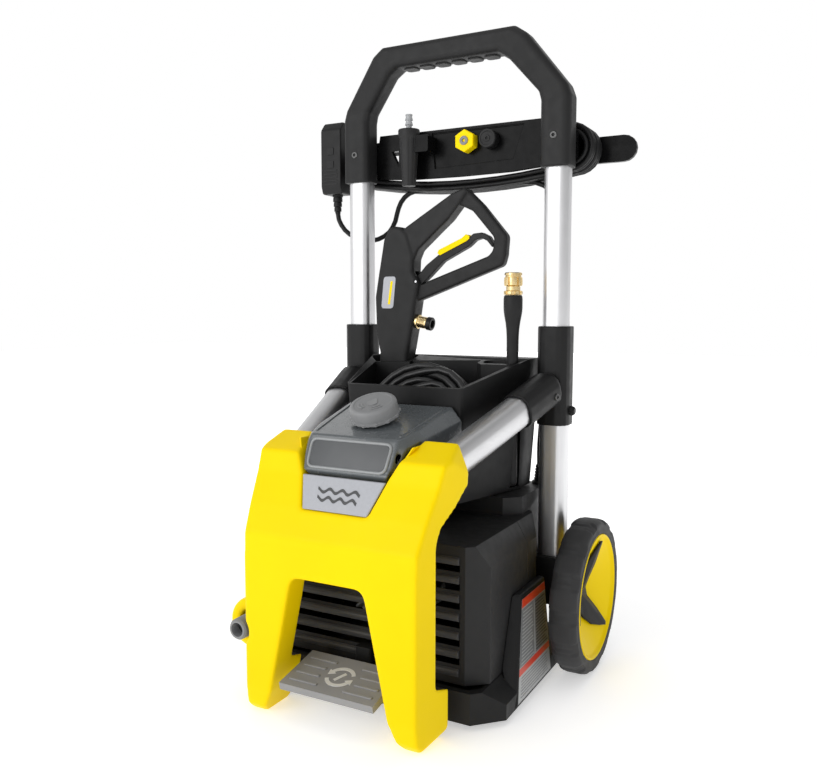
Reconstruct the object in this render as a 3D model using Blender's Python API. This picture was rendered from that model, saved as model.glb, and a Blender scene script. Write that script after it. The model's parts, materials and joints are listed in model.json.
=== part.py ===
"""Upright electric pressure washer on a two-wheeled trolley frame.

Metres, +Z up.  The machine faces -Y and X is its width.  Every piece is modelled
around the uprights: X = 0 is the middle, Y = 0 lies just in front of the upright tubes
and Z = 0 is the floor.  One empty then carries the whole machine along Y, so that the
origin lands under the middle of its bounding box.
"""
import math

import bmesh
import bpy
from mathutils import Matrix, Vector

# ------------------------------------------------------------------ driving dimensions
OVERALL_HEIGHT = 0.864        # floor to the top of the handle
UPRIGHT_X = 0.155             # middle of each upright tube
UPRIGHT_Y = 0.020
GAP = 0.0003                  # clearance between pieces that touch
RUNNING_GAP = 0.00004         # radial clearance of a shaft in its bore

UPPER_TUBE = (0.034, 0.032)   # width and depth of the telescoping tubes
LOWER_TUBE = (0.037, 0.036)
DIAGONAL_TUBE = (0.037, 0.040)
TUBE_WALL = 0.0015
TUBE_CORNER = 0.011

SLEEVE_LOW = 0.331
SLEEVE_HIGH = 0.466
SLEEVE_WALL = 0.0042
SOCKET_WALL = 0.0035

HANDLE_LEG = (0.042, 0.038)
HANDLE_DROP = 0.186           # top of the handle down to the lower end of its legs
HANDLE_SHOULDER_DROP = 0.088
HANDLE_TOP_HALF = 0.1077
HANDLE_TOP_INNER_HALF = 0.0832
HANDLE_BAR = 0.031
HANDLE_LEAN = 0.013
TUBE_IN_HANDLE = 0.060

WHEEL_RADIUS = 0.1036
WHEEL_WIDTH = 0.037
WHEEL_OUTER_X = 0.227
AXLE_Y = 0.001
AXLE_RADIUS = 0.006
DISC_RADIUS = 0.0837
ROUND_STEPS = 32

COVER_FRONT_Y = -0.317
COVER_WALL = 0.004
COVER_HALF_WIDTH = 0.115      # at its front face
COVER_DRAFT = 0.236           # how much the sides open out for each metre back
ARCH_TOP = 0.177
ARCH_HALF_TOP = 0.049
ARCH_HALF_LOW = 0.080

HOUSING_HALF_WIDTH = 0.155
HOUSING_FRONT_Y = -0.220
HOUSING_SEAM_Y = -0.079
HOUSING_LOW = 0.0465
HOUSING_TOP = 0.214
HOUSING_WALL = 0.003
REAR_HALF_WIDTH = 0.132
REAR_BACK_Y = 0.064
SEAT_TOP = 0.238              # raised seat that carries the storage bin

BASE_LOW = 0.008
BASE_TOP = 0.046
BASE_HALF_WIDTH = 0.177

BIN_LOW = SEAT_TOP + 0.002
BIN_FLOOR = 0.005
BIN_WALL = 0.0035
BIN_FRONT_Y = -0.136
BIN_BACK_Y = 0.042
BIN_FRONT_HALF = 0.088
BIN_BACK_HALF = 0.125
BIN_FRONT_RIM = 0.389
BIN_BACK_RIM = 0.421

HOSE_RADIUS = 0.0052
HOSE_LAYERS = 4
HOSE_COLUMNS = 4
HOSE_INNER_RADIUS = 0.0458    # centre line of the innermost turn
COIL_LEAN = math.radians(22)
COIL_CENTRE = Vector((0.0, -0.0798, 0.3350))

CORD_RADIUS = 0.00372
CORD_COLUMNS = 6
CORD_LAYERS = 2
HOOK_X = 0.162                # middle of each cord hook's arm
HOOK_Z = 0.710
HOOK_HALF_HEIGHT = 0.018
HOOK_REACH = 0.242
CORD_SAG = 0.014

MOTOR_Z = 0.132
MOTOR_RADIUS = 0.040
PINION_TEETH = 12
GEAR_TEETH = 36
GEAR_MODULE = 0.00125

GUN_Y = 0.010
LANCE_X = 0.1045
LANCE_Y = -0.012
PEDAL_PIVOT = (-0.243, 0.050)   # Y and Z of the foot pedal's pin

# places worked out from the driving dimensions
HANDLE_LOW = OVERALL_HEIGHT - HANDLE_DROP
SHOULDER_Z = OVERALL_HEIGHT - HANDLE_SHOULDER_DROP
HANDLE_Y = HANDLE_LEG[1] / 2 - 0.002
BRACKET_FRONT = HANDLE_Y + HANDLE_LEG[1] / 2 + GAP
BRACKET_BACK = BRACKET_FRONT + 0.0087
CORD_PITCH = CORD_RADIUS * 2 + 0.00006
WINDING_FRONT = BRACKET_BACK + GAP
WINDING_BACK = WINDING_FRONT + CORD_COLUMNS * CORD_PITCH
PADDLE_FRONT = WINDING_BACK + GAP
PADDLE_BACK = PADDLE_FRONT + 0.007
PEDAL_FRONT_Y = COVER_FRONT_Y - 0.003
ORIGIN_SHIFT = -(PEDAL_FRONT_Y + AXLE_Y + WHEEL_RADIUS) / 2

# ------------------------------------------------------------------ materials
FINISHES = {
    "yellow_plastic": ((0.93, 0.74, 0.0), 0.35, 0.0),
    "black_plastic": ((0.030, 0.030, 0.032), 0.45, 0.0),
    "grey_plastic": ((0.075, 0.075, 0.078), 0.5, 0.0),
    "light_grey_plastic": ((0.24, 0.24, 0.25), 0.5, 0.0),
    "smoky_plastic": ((0.13, 0.14, 0.15), 0.3, 0.0),
    "aluminium": ((0.72, 0.72, 0.74), 0.35, 1.0),
    "steel": ((0.5, 0.5, 0.52), 0.3, 1.0),
    "silver_plate": ((0.52, 0.53, 0.56), 0.4, 0.3),
    "brass": ((0.75, 0.53, 0.2), 0.3, 1.0),
    "tyre_rubber": ((0.035, 0.035, 0.035), 0.7, 0.0),
    "cord_rubber": ((0.018, 0.018, 0.019), 0.5, 0.0),
}


def finish(name):
    """Return the material called name, making it the first time."""
    if name in bpy.data.materials:
        return bpy.data.materials[name]
    colour, roughness, metallic = FINISHES[name]
    material = bpy.data.materials.new(name)
    material.use_nodes = True
    shader = material.node_tree.nodes["Principled BSDF"]
    shader.inputs["Base Color"].default_value = (*colour, 1.0)
    shader.inputs["Roughness"].default_value = roughness
    shader.inputs["Metallic"].default_value = metallic
    return material


# ------------------------------------------------------------------ modelling helpers
ROOT = []


def add_object(name, bm, material, pivot=(0, 0, 0)):
    """Turn bm into an object whose origin is at pivot, under the machine's empty."""
    bmesh.ops.remove_doubles(bm, verts=bm.verts, dist=1e-7)
    bmesh.ops.recalc_face_normals(bm, faces=bm.faces)
    bmesh.ops.translate(bm, verts=bm.verts, vec=-Vector(pivot))
    mesh = bpy.data.meshes.new(name)
    bm.to_mesh(mesh)
    bm.free()
    mesh.shade_smooth()
    mesh.set_sharp_from_angle(angle=math.radians(32))
    mesh.materials.append(finish(material))
    obj = bpy.data.objects.new(name, mesh)
    obj.location = pivot
    obj.parent = ROOT[0]
    bpy.context.scene.collection.objects.link(obj)
    return obj


def as_tool(obj):
    """Mark obj as a cutter or a piece that is joined into another."""
    obj.hide_render = True
    obj.display_type = "WIRE"
    return obj


def combine(target, tool, operation="DIFFERENCE"):
    """Cut tool out of target, or join or intersect the two."""
    modifier = target.modifiers.new(tool.name, "BOOLEAN")
    modifier.operation = operation
    modifier.solver = "EXACT"
    modifier.object = as_tool(tool)
    return target


def soften(obj, width, segments=1):
    """Round off the sharp edges of obj."""
    modifier = obj.modifiers.new("soften", "BEVEL")
    modifier.width = width
    modifier.segments = segments
    modifier.limit_method = "ANGLE"
    modifier.angle_limit = math.radians(35)
    return obj


def skin(rings, closed_loop=False):
    """Join rings of equal length into one closed skin, capped unless it is a loop."""
    bm = bmesh.new()
    loops = [[bm.verts.new(point) for point in ring] for ring in rings]
    count = len(loops[0])
    pairs = list(zip(loops, loops[1:]))
    if closed_loop:
        pairs.append((loops[-1], loops[0]))
    for low, high in pairs:
        for i in range(count):
            j = (i + 1) % count
            bm.faces.new((low[i], low[j], high[j], high[i]))
    if not closed_loop:
        bm.faces.new(loops[0][::-1])
        bm.faces.new(loops[-1])
    return bm


def lift(axis, a, b, along):
    """Place an outline point (a, b) on the plane at right angles to axis."""
    return {"X": (along, a, b), "Y": (a, along, b), "Z": (a, b, along)}[axis]


def prism(name, outline, axis, low, high, material, pivot=(0, 0, 0)):
    """Extrude a flat outline along an axis, between low and high."""
    rings = [[lift(axis, a, b, along) for a, b in outline] for along in (low, high)]
    return add_object(name, skin(rings), material, pivot)


def hollow_prism(name, outer, inner, axis, low, high, material):
    """Extrude the ring between two outlines with the same number of points."""
    rings = [
        [lift(axis, a, b, low) for a, b in outer],
        [lift(axis, a, b, high) for a, b in outer],
        [lift(axis, a, b, high) for a, b in inner],
        [lift(axis, a, b, low) for a, b in inner],
    ]
    return add_object(name, skin(rings, closed_loop=True), material)


def turned(name, profile, centre, direction, material, steps=ROUND_STEPS, ring=False,
           pivot=(0, 0, 0)):
    """Turn a profile of (radius, distance along the axis) about an axis."""
    turn = Vector((0, 0, 1)).rotation_difference(Vector(direction)).to_matrix()
    bm = bmesh.new()
    loops = []
    for radius, height in profile:
        if radius < 1e-6:
            loops.append([bm.verts.new(Vector(centre) + turn @ Vector((0, 0, height)))])
            continue
        loop = []
        for i in range(steps):
            angle = 2 * math.pi * i / steps
            spot = Vector((radius * math.cos(angle), radius * math.sin(angle), height))
            loop.append(bm.verts.new(Vector(centre) + turn @ spot))
        loops.append(loop)
    pairs = list(zip(loops, loops[1:]))
    if ring:
        pairs.append((loops[-1], loops[0]))
    for low, high in pairs:
        for i in range(steps):
            j = (i + 1) % steps
            corners = [low[i % len(low)], low[j % len(low)],
                       high[j % len(high)], high[i % len(high)]]
            corners = list(dict.fromkeys(corners))
            if len(corners) > 2:
                bm.faces.new(corners)
    if not ring:
        for loop in (loops[0], loops[-1]):
            if len(loop) > 1:
                bm.faces.new(loop)
    return add_object(name, bm, material, pivot)


def hull(name, points, material, pivot=(0, 0, 0)):
    """Wrap a convex skin round the given corners."""
    bm = bmesh.new()
    for point in points:
        bm.verts.new(point)
    result = bmesh.ops.convex_hull(bm, input=bm.verts)
    loose = [item for item in result["geom_interior"] if isinstance(item, bmesh.types.BMVert)]
    bmesh.ops.delete(bm, geom=loose, context="VERTS")
    bmesh.ops.dissolve_limit(bm, angle_limit=math.radians(1), verts=bm.verts, edges=bm.edges)
    return add_object(name, bm, material, pivot)


def arc(centre, radius, start, stop, steps):
    """Points along a circular arc, in degrees, both ends included."""
    points = []
    for i in range(steps + 1):
        angle = math.radians(start + (stop - start) * i / steps)
        points.append((centre[0] + radius * math.cos(angle),
                       centre[1] + radius * math.sin(angle)))
    return points


def rounded_rect(width, depth, radius, centre=(0, 0), steps=3):
    """A rectangle's outline with round corners."""
    a = width / 2 - radius
    b = depth / 2 - radius
    points = []
    for sx, sy, start in ((1, 1, 0), (-1, 1, 90), (-1, -1, 180), (1, -1, 270)):
        corner = (centre[0] + sx * a, centre[1] + sy * b)
        points += arc(corner, radius, start, start + 90, steps)
    return points


def slot_outline(low, high, middle, radius, steps=8):
    """A slot with two round ends, lying along its first coordinate."""
    right = arc((high - radius, middle), radius, -90, 90, steps)
    left = arc((low + radius, middle), radius, 90, 270, steps)
    return right + left


def inset(outline, distance):
    """Move every side of an outline inwards by distance (outwards if negative)."""
    area = sum(p[0] * q[1] - q[0] * p[1] for p, q in zip(outline, outline[1:] + outline[:1]))
    side = 1 if area > 0 else -1
    result = []
    for before, here, after in zip(outline[-1:] + outline[:-1], outline,
                                   outline[1:] + outline[:1]):
        first = (Vector(here) - Vector(before)).normalized()
        second = (Vector(after) - Vector(here)).normalized()
        normal_a = Vector((-first.y, first.x)) * side
        normal_b = Vector((-second.y, second.x)) * side
        mitre = (normal_a + normal_b) / (1 + normal_a.dot(normal_b))
        result.append(tuple(Vector(here) + mitre * distance))
    return result


def mirrored(half):
    """Complete an outline from its half at positive first coordinates."""
    return half + [(-a, b) for a, b in reversed(half)]


def smooth_route(points, spacing):
    """Points evenly read from a smooth curve through the given points."""
    spots = [Vector(p) for p in points]
    spots = [2 * spots[0] - spots[1]] + spots + [2 * spots[-1] - spots[-2]]
    fine = []
    for p0, p1, p2, p3 in zip(spots, spots[1:], spots[2:], spots[3:]):
        for i in range(24):
            t = i / 24
            fine.append(0.5 * (2 * p1 + (p2 - p0) * t + (2 * p0 - 5 * p1 + 4 * p2 - p3) * t ** 2
                               + (3 * p1 - p0 - 3 * p2 + p3) * t ** 3))
    fine.append(spots[-2])
    total = sum((b - a).length for a, b in zip(fine, fine[1:]))
    count = max(3, round(total / spacing))
    route = [fine[0]]
    travelled = 0.0
    for a, b in zip(fine, fine[1:]):
        travelled += (b - a).length
        if travelled >= total * len(route) / count and len(route) < count:
            route.append(b)
    route.append(fine[-1])
    return route


def cord_tube(name, points, radius, resolution=2):
    """A plain round tube along a smooth route, closed at both ends."""
    curve = bpy.data.curves.new(name, "CURVE")
    curve.dimensions = "3D"
    curve.bevel_depth = radius
    curve.bevel_resolution = resolution
    curve.use_fill_caps = True
    route = smooth_route(points, radius * 3.4)
    spline = curve.splines.new("POLY")
    spline.points.add(len(route) - 1)
    for point, spot in zip(spline.points, route):
        point.co = (*spot, 1.0)
    curve.materials.append(finish("cord_rubber"))
    obj = bpy.data.objects.new(name, curve)
    obj.parent = ROOT[0]
    bpy.context.scene.collection.objects.link(obj)
    return obj


def side_name(side):
    """The name ending for a piece at positive or negative X."""
    return "right" if side > 0 else "left"


# ------------------------------------------------------------------ trolley frame
def upright_outline(size, side, grow=0.0):
    """Section of an upright tube, seen from above."""
    return rounded_rect(size[0] + 2 * grow, size[1] + 2 * grow, TUBE_CORNER + grow,
                        (side * UPRIGHT_X, UPRIGHT_Y))


def diagonal_axis(side):
    """Start and direction of the tube that runs forward and down from an upright."""
    start = Vector((side * UPRIGHT_X, 0.0, SLEEVE_LOW + 0.054))
    stop = Vector((side * (COVER_HALF_WIDTH - 0.0165), -0.240, 0.2985))
    return start, (stop - start).normalized()


def diagonal_ring(side, distance, grow=0.0):
    """Section of the diagonal tube at a distance along its axis."""
    start, direction = diagonal_axis(side)
    across = Vector((0, 0, 1)).cross(-direction).normalized()
    upward = (-direction).cross(across).normalized()
    outline = rounded_rect(DIAGONAL_TUBE[0] + 2 * grow, DIAGONAL_TUBE[1] + 2 * grow,
                           TUBE_CORNER + 0.003 + grow)
    centre = start + direction * distance
    return [centre + across * a + upward * b for a, b in outline]


DIAGONAL_START = 0.026
DIAGONAL_END = 0.276
SOCKET_END = 0.084


def make_uprights():
    """Two telescoping tubes, two lower tubes and two diagonal tubes."""
    web_low = SLEEVE_LOW + 0.064
    web_high = web_low + 0.005
    for side in (-1, 1):
        for part, size, low, high in (
                ("upper", UPPER_TUBE, web_high + GAP, HANDLE_LOW + TUBE_IN_HANDLE - GAP),
                ("lower", LOWER_TUBE, WHEEL_RADIUS + 0.0144, web_low - GAP)):
            outer = upright_outline(size, side)
            hollow_prism(f"upright_{part}_{side_name(side)}", outer, inset(outer, TUBE_WALL),
                         "Z", low, high, "aluminium")
        rings = [diagonal_ring(side, DIAGONAL_START), diagonal_ring(side, DIAGONAL_END),
                 diagonal_ring(side, DIAGONAL_END, -TUBE_WALL),
                 diagonal_ring(side, DIAGONAL_START, -TUBE_WALL)]
        add_object(f"diagonal_tube_{side_name(side)}", skin(rings, closed_loop=True),
                   "aluminium")


def make_connectors():
    """Moulded sleeves that join the upper, lower and diagonal tubes."""
    web_low = SLEEVE_LOW + 0.064
    web_high = web_low + 0.005
    for side in (-1, 1):
        name = side_name(side)
        outer = upright_outline(LOWER_TUBE, side, SLEEVE_WALL)
        sleeve = prism(f"tube_connector_{name}", outer, "Z", SLEEVE_LOW, SLEEVE_HIGH,
                       "black_plastic")
        socket_rings = [diagonal_ring(side, 0.004, SOCKET_WALL * 0.2),
                        diagonal_ring(side, 0.010, SOCKET_WALL),
                        diagonal_ring(side, SOCKET_END, SOCKET_WALL)]
        socket = add_object(f"socket_{name}", skin(socket_rings), "black_plastic")
        combine(sleeve, socket, "UNION")
        bores = (("lower", LOWER_TUBE, SLEEVE_LOW - 0.01, web_low),
                 ("upper", UPPER_TUBE, web_high, SLEEVE_HIGH + 0.01))
        for part, size, low, high in bores:
            bore = prism(f"bore_{part}_{name}", upright_outline(size, side, GAP), "Z", low, high,
                         "black_plastic")
            combine(sleeve, bore)
        rings = [diagonal_ring(side, DIAGONAL_START - GAP, GAP),
                 diagonal_ring(side, SOCKET_END + 0.01, GAP)]
        combine(sleeve, add_object(f"bore_diagonal_{name}", skin(rings), "black_plastic"))
        outside = side * (UPRIGHT_X + LOWER_TUBE[0] / 2 + SLEEVE_WALL)
        turned(f"frame_bolt_{name}",
               [(0, GAP), (0.0062, GAP), (0.0062, 0.004), (0.0048, 0.0065), (0, 0.0065)],
               (outside, UPRIGHT_Y - 0.002, SLEEVE_LOW + 0.020), (side, 0, 0), "black_plastic",
               12)


def handle_ring(outer, inner, lean):
    """Section of the handle between an outer and an inner point (X, Z)."""
    middle = (Vector(outer) + Vector(inner)) / 2
    reach = (Vector(outer) - Vector(inner)) / 2
    ring = []
    for a, b in rounded_rect(2.0, 2.0, 0.46):
        spot = middle + reach * a
        ring.append((spot.x, HANDLE_Y - lean + b * HANDLE_LEG[1] / 2, spot.y))
    return ring


def make_handle():
    """One moulded arch that plugs onto the upper tubes."""
    outer_x = UPRIGHT_X + HANDLE_LEG[0] / 2
    inner_x = UPRIGHT_X - HANDLE_LEG[0] / 2
    top = OVERALL_HEIGHT
    under = top - HANDLE_BAR
    half = [
        ((outer_x, HANDLE_LOW), (inner_x, HANDLE_LOW), 0.0),
        ((outer_x, SHOULDER_Z - 0.006), (inner_x, SHOULDER_Z - 0.010), 0.0),
        ((outer_x - 0.005, SHOULDER_Z + 0.008), (inner_x - 0.003, SHOULDER_Z + 0.002), 0.001),
        ((HANDLE_TOP_HALF + 0.010, top - 0.011), (HANDLE_TOP_INNER_HALF + 0.008, under - 0.009),
         HANDLE_LEAN - 0.001),
        ((HANDLE_TOP_HALF - 0.006, top), (HANDLE_TOP_INNER_HALF - 0.006, under), HANDLE_LEAN),
    ]
    left = [((-outer[0], outer[1]), (-inner[0], inner[1]), lean)
            for outer, inner, lean in reversed(half)]
    rings = [handle_ring(*station) for station in half + left]
    handle = add_object("handle", skin(rings), "black_plastic")
    for side in (-1, 1):
        bore = prism(f"handle_bore_{side_name(side)}", upright_outline(UPPER_TUBE, side, GAP),
                     "Z", HANDLE_LOW - 0.01, HANDLE_LOW + TUBE_IN_HANDLE, "black_plastic")
        combine(handle, bore)


# ------------------------------------------------------------------ cord bracket and nozzles
CONE_X = -0.072
CONE_Y = 0.016
CONE_LOW = HOOK_Z - 0.041
CONE_TOP = HOOK_Z + 0.040
SPRAY_Z = HOOK_Z + 0.018


def cone_profile(grow=0.0):
    """Radius and height of the detergent nozzle's body."""
    return [(0, CONE_LOW - grow), (0.0100 + grow, CONE_LOW - grow),
            (0.0150 + grow, CONE_TOP - 0.014), (0.0160 + grow, CONE_TOP - 0.008),
            (0.0160 + grow, CONE_TOP), (0, CONE_TOP)]


def make_cord_bracket():
    """The rear panel between the handle's legs, with a cord hook behind each leg."""
    panel_half = UPRIGHT_X - HANDLE_LEG[0] / 2 - 0.001
    bottom = HOOK_Z - 0.026
    arms_end = UPRIGHT_X + HANDLE_LEG[0] / 2 - 0.002
    half = [(0.0, bottom - 0.003), (panel_half * 0.6, bottom - 0.002), (panel_half, bottom + 0.002),
            (panel_half + 0.004, HOOK_Z - HOOK_HALF_HEIGHT), (arms_end, HOOK_Z - HOOK_HALF_HEIGHT),
            (arms_end, HOOK_Z + HOOK_HALF_HEIGHT), (panel_half + 0.004, HOOK_Z + HOOK_HALF_HEIGHT),
            (panel_half, HOOK_Z + 0.040)]
    bracket = prism("cord_bracket", mirrored(half)[:-1] if half[0][0] == 0 else mirrored(half),
                    "Y", BRACKET_FRONT, BRACKET_BACK, "black_plastic")
    recess = [(-0.040, bottom + 0.010), (0.083, bottom + 0.014), (0.099, HOOK_Z + 0.036),
              (-0.045, HOOK_Z + 0.036)]
    combine(bracket, prism("panel_recess", recess, "Y", BRACKET_FRONT - 0.01,
                           BRACKET_FRONT + 0.0030, "black_plastic"))
    combine(bracket, prism("bracket_window", [(-0.113, 0.7255), (-0.1005, 0.7255),
                                              (-0.1005, 0.7020)],
                           "Y", BRACKET_FRONT - 0.01, BRACKET_BACK + 0.01, "black_plastic"))
    clip = prism("nozzle_clip", rounded_rect(0.036, 0.024, 0.003, (CONE_X + 0.016, HOOK_Z + 0.018), 2),
                 "Y", CONE_Y - 0.006, BRACKET_FRONT + 0.002, "black_plastic")
    combine(bracket, clip, "UNION")
    combine(bracket, turned("cone_bore", cone_profile(GAP * 2), (CONE_X, CONE_Y, 0), (0, 0, 1),
                            "black_plastic", 24))
    for side in (-1, 1):
        name = side_name(side)
        arm = prism(f"hook_arm_{name}",
                    rounded_rect(0.022, 2 * HOOK_HALF_HEIGHT, 0.010, (side * HOOK_X, HOOK_Z)),
                    "Y", BRACKET_BACK - 0.002, PADDLE_FRONT + 0.002, "black_plastic")
        combine(bracket, arm, "UNION")
        outline = slot_outline(HOOK_X - 0.020, HOOK_REACH, HOOK_Z, HOOK_HALF_HEIGHT)
        outline = [(side * a, b) for a, b in outline]
        paddle = prism(f"hook_paddle_{name}", outline, "Y", PADDLE_FRONT, PADDLE_BACK,
                       "black_plastic")
        combine(bracket, paddle, "UNION")
    for hole_x in (0.0135, 0.049):
        combine(bracket, turned(f"nozzle_hole_{hole_x}", [(0, -0.02), (0.0065, -0.02),
                                                          (0.0065, 0.02), (0, 0.02)],
                                (hole_x, BRACKET_FRONT, SPRAY_Z), (0, 1, 0), "black_plastic", 16))


def make_nozzles():
    """The detergent nozzle in its clip and two spray nozzles in the panel."""
    nozzle = turned("detergent_nozzle", cone_profile(), (CONE_X, CONE_Y, 0), (0, 0, 1),
                    "grey_plastic", 24)
    barb = turned("nozzle_barb", [(0, CONE_TOP - 0.002), (0.0042, CONE_TOP - 0.002),
                                  (0.0042, CONE_TOP + 0.006), (0.0060, CONE_TOP + 0.007),
                                  (0.0048, CONE_TOP + 0.013), (0.0060, CONE_TOP + 0.014),
                                  (0.0050, CONE_TOP + 0.022), (0, CONE_TOP + 0.022)],
                  (CONE_X, CONE_Y, 0), (0, 0, 1), "light_grey_plastic", 16)
    combine(nozzle, barb, "UNION")
    front = BRACKET_FRONT + 0.0030 - GAP
    for name, x, radius, sides, material in (
            ("spray_nozzle_fan", 0.0135, 0.0160, 6, "yellow_plastic"),
            ("spray_nozzle_jet", 0.049, 0.0130, 16, "black_plastic")):
        outline = arc((x, SPRAY_Z), radius, 90, 90 + 360 - 360 / sides, sides - 1)
        head = prism(name, outline, "Y", front - 0.017, front, material)
        soften(head, 0.0012)
        stem = [(0, -0.004), (0.0058, -0.004), (0.0058, 0.005), (0, 0.005)]
        combine(head, turned(f"{name}_stem", stem, (x, front, SPRAY_Z), (0, 1, 0), material, 12),
                "UNION")
        combine(head, turned(f"{name}_mouth", [(0, -0.002), (0.0035, -0.002), (0.0025, 0.010),
                                               (0, 0.010)],
                             (x, front - 0.017, SPRAY_Z), (0, 1, 0), material, 12))


# ------------------------------------------------------------------ front cover
COVER_SIDE = [(-0.262, 0.0), (-0.304, 0.0), (-0.314, 0.010), (COVER_FRONT_Y, 0.034),
              (COVER_FRONT_Y, 0.185), (-0.315, 0.224), (-0.299, 0.257), (-0.278, 0.293),
              (-0.268, 0.317), (-0.222, 0.3375), (-0.2235, 0.290), (-0.248, 0.266),
              (-0.274, 0.246), (-0.281, 0.226), (-0.281, 0.066), (-0.258, 0.060),
              (-0.258, 0.004)]
COVER_NOTCH = [(0.0450, 0.2555), (0.0583, 0.294), (0.0700, 0.317), (0.0840, 0.345)]


def cover_front():
    """Front outline of the cover: two legs, an arch between them and two horns."""
    arch = arc((ARCH_HALF_TOP - 0.010, ARCH_TOP - 0.012), 0.012, 90, 10, 3)
    half = [*arch, (ARCH_HALF_LOW, 0.032), (ARCH_HALF_LOW + 0.016, -0.004),
            (0.112, -0.004), (0.128, 0.012), (0.145, 0.040), (0.145, 0.284), (0.125, 0.3345),
            (0.1155, 0.345), *reversed(COVER_NOTCH)]
    return mirrored(half)


def cover_plan(inward=0.0):
    """The cover seen from above; the sides open out towards the back."""
    back = -0.20
    half_back = COVER_HALF_WIDTH + COVER_DRAFT * (back - COVER_FRONT_Y)
    half = [(COVER_HALF_WIDTH - inward, COVER_FRONT_Y - 0.01), (half_back - inward, back)]
    return mirrored(half)


def make_front_cover():
    """A moulded shell, open at the back, with the water inlet's boss at its left."""
    cover = prism("front_cover", cover_front(), "Y", COVER_FRONT_Y - 0.02, -0.20, "yellow_plastic")
    combine(cover, prism("cover_side", COVER_SIDE, "X", -0.20, 0.20, "yellow_plastic"),
            "INTERSECT")
    combine(cover, prism("cover_plan", cover_plan(), "Z", -0.02, 0.36, "yellow_plastic"),
            "INTERSECT")
    boss = turned("inlet_boss", [(0, 0), (0.0290, 0), (0.0320, 0.003), (0.0320, 0.036), (0, 0.036)],
                  (INLET_X, INLET_FACE_Y, INLET_Z), (0, 1, 0), "yellow_plastic", 28)
    combine(cover, boss, "UNION")
    hollow = prism("cover_hollow", inset(cover_front(), COVER_WALL), "Y", COVER_FRONT_Y - 0.02,
                   -0.20, "yellow_plastic")
    side = inset(COVER_SIDE, COVER_WALL)
    deep = [(a if a < -0.285 else a + 0.05, b) for a, b in side[:8]]
    deep = side[1:10] + [(-0.19, side[9][1] + 0.012), (-0.19, side[1][1])]
    combine(hollow, prism("hollow_side", deep, "X", -0.20, 0.20, "yellow_plastic"), "INTERSECT")
    combine(hollow, prism("hollow_plan", cover_plan(COVER_WALL), "Z", -0.02, 0.36,
                          "yellow_plastic"), "INTERSECT")
    combine(cover, hollow)
    combine(cover, turned("inlet_recess", [(0, -0.04), (0.0175, -0.04), (0.0175, 0.05),
                                           (0, 0.05)],
                          (INLET_X, INLET_FACE_Y, INLET_Z), (0, 1, 0), "yellow_plastic", 24))


INLET_X = -0.130
INLET_Z = 0.0995
INLET_FACE_Y = -0.292


def make_inlet():
    """Threaded garden-hose nipple on a flange behind the boss."""
    front = -0.3165
    length = 0.064
    thread = []
    for i in range(6):
        height = 0.003 + i * 0.004
        thread += [(0.0118, height), (0.0132, height + 0.002)]
    turned("inlet_nipple",
           [(0.0085, 0.0), (0.0112, 0.0), *thread, (0.0118, 0.028), (0.0118, length),
            (0.0085, length)],
           (INLET_X, front, INLET_Z), (0, 1, 0), "light_grey_plastic", 20, ring=True)


def make_name_plate():
    """Blank silver plate that closes the lower end of the cover's notch."""
    corners = []
    for x, y, z in ((0.0440, -0.2978, 0.2562), (0.0569, -0.2776, 0.2928)):
        for side in (-1, 1):
            corners.append((side * x, y, z))
            corners.append((side * x, y + 0.0045, z - 0.0004))
    soften(hull("name_plate", corners, "silver_plate"), 0.0008)


# ------------------------------------------------------------------ detergent tank
TANK_BACK_Y = BIN_FRONT_Y - 0.0025
TANK_TILT = math.atan2(0.031, 0.128)
CAP_Y = -0.200
NECK_TILT = TANK_TILT + math.radians(9)
NECK_RISE = 0.006             # how far the neck's seat stands off the tank's top
NECK_RADIUS = 0.022
CAP_RADIUS = 0.0300
TANK_WALL = 0.0022


def tank_top(y):
    """Height of the tank's sloping top at a place along Y."""
    return 0.336 + (y + 0.266) * math.tan(TANK_TILT)


def tank_rings(shrink=0.0):
    """Sections of the tank from front to back; shrink is the wall for its inside."""
    s = shrink
    low = HOUSING_TOP + 0.0006
    stations = [
        (((0.0600, -0.2545, tank_top(-0.2545)), (0.0620, -0.2568, 0.3320),
          (0.0605, -0.2695, 0.3085), (0.0580, -0.2750, 0.2985)), s),
        (((0.0635, -0.2480, tank_top(-0.2480)), (0.0700, -0.2490, 0.3290),
          (0.0618, -0.2590, 0.3050), (0.0475, -0.2605, 0.2800)), s / 2),
        (((0.0700, -0.2225, tank_top(-0.2225)), (0.0772, -0.2225, 0.3368),
          (0.0560, -0.2225, 0.2930), (0.0450, -0.2225, 0.2620)), s),
        (((0.0700, -0.2195, tank_top(-0.2195)), (0.0780, -0.2195, 0.3372),
          (0.0740, -0.2195, 0.2620), (0.0600, -0.2195, low)), s),
        (((0.0740, TANK_BACK_Y, tank_top(TANK_BACK_Y)), (0.0880, TANK_BACK_Y, 0.3500),
          (0.0860, TANK_BACK_Y, 0.2620), (0.0600, TANK_BACK_Y, low)), -s),
    ]
    rings = []
    for half, forward in stations:
        shrunk = []
        for index, (x, y, z) in enumerate(half):
            down = (s, s * 0.5, -s * 0.2, -s)[index]
            shrunk.append((x - s, y + forward, z - down))
        rings.append(shrunk + [(-x, y, z) for x, y, z in reversed(shrunk)])
    return rings


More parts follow.
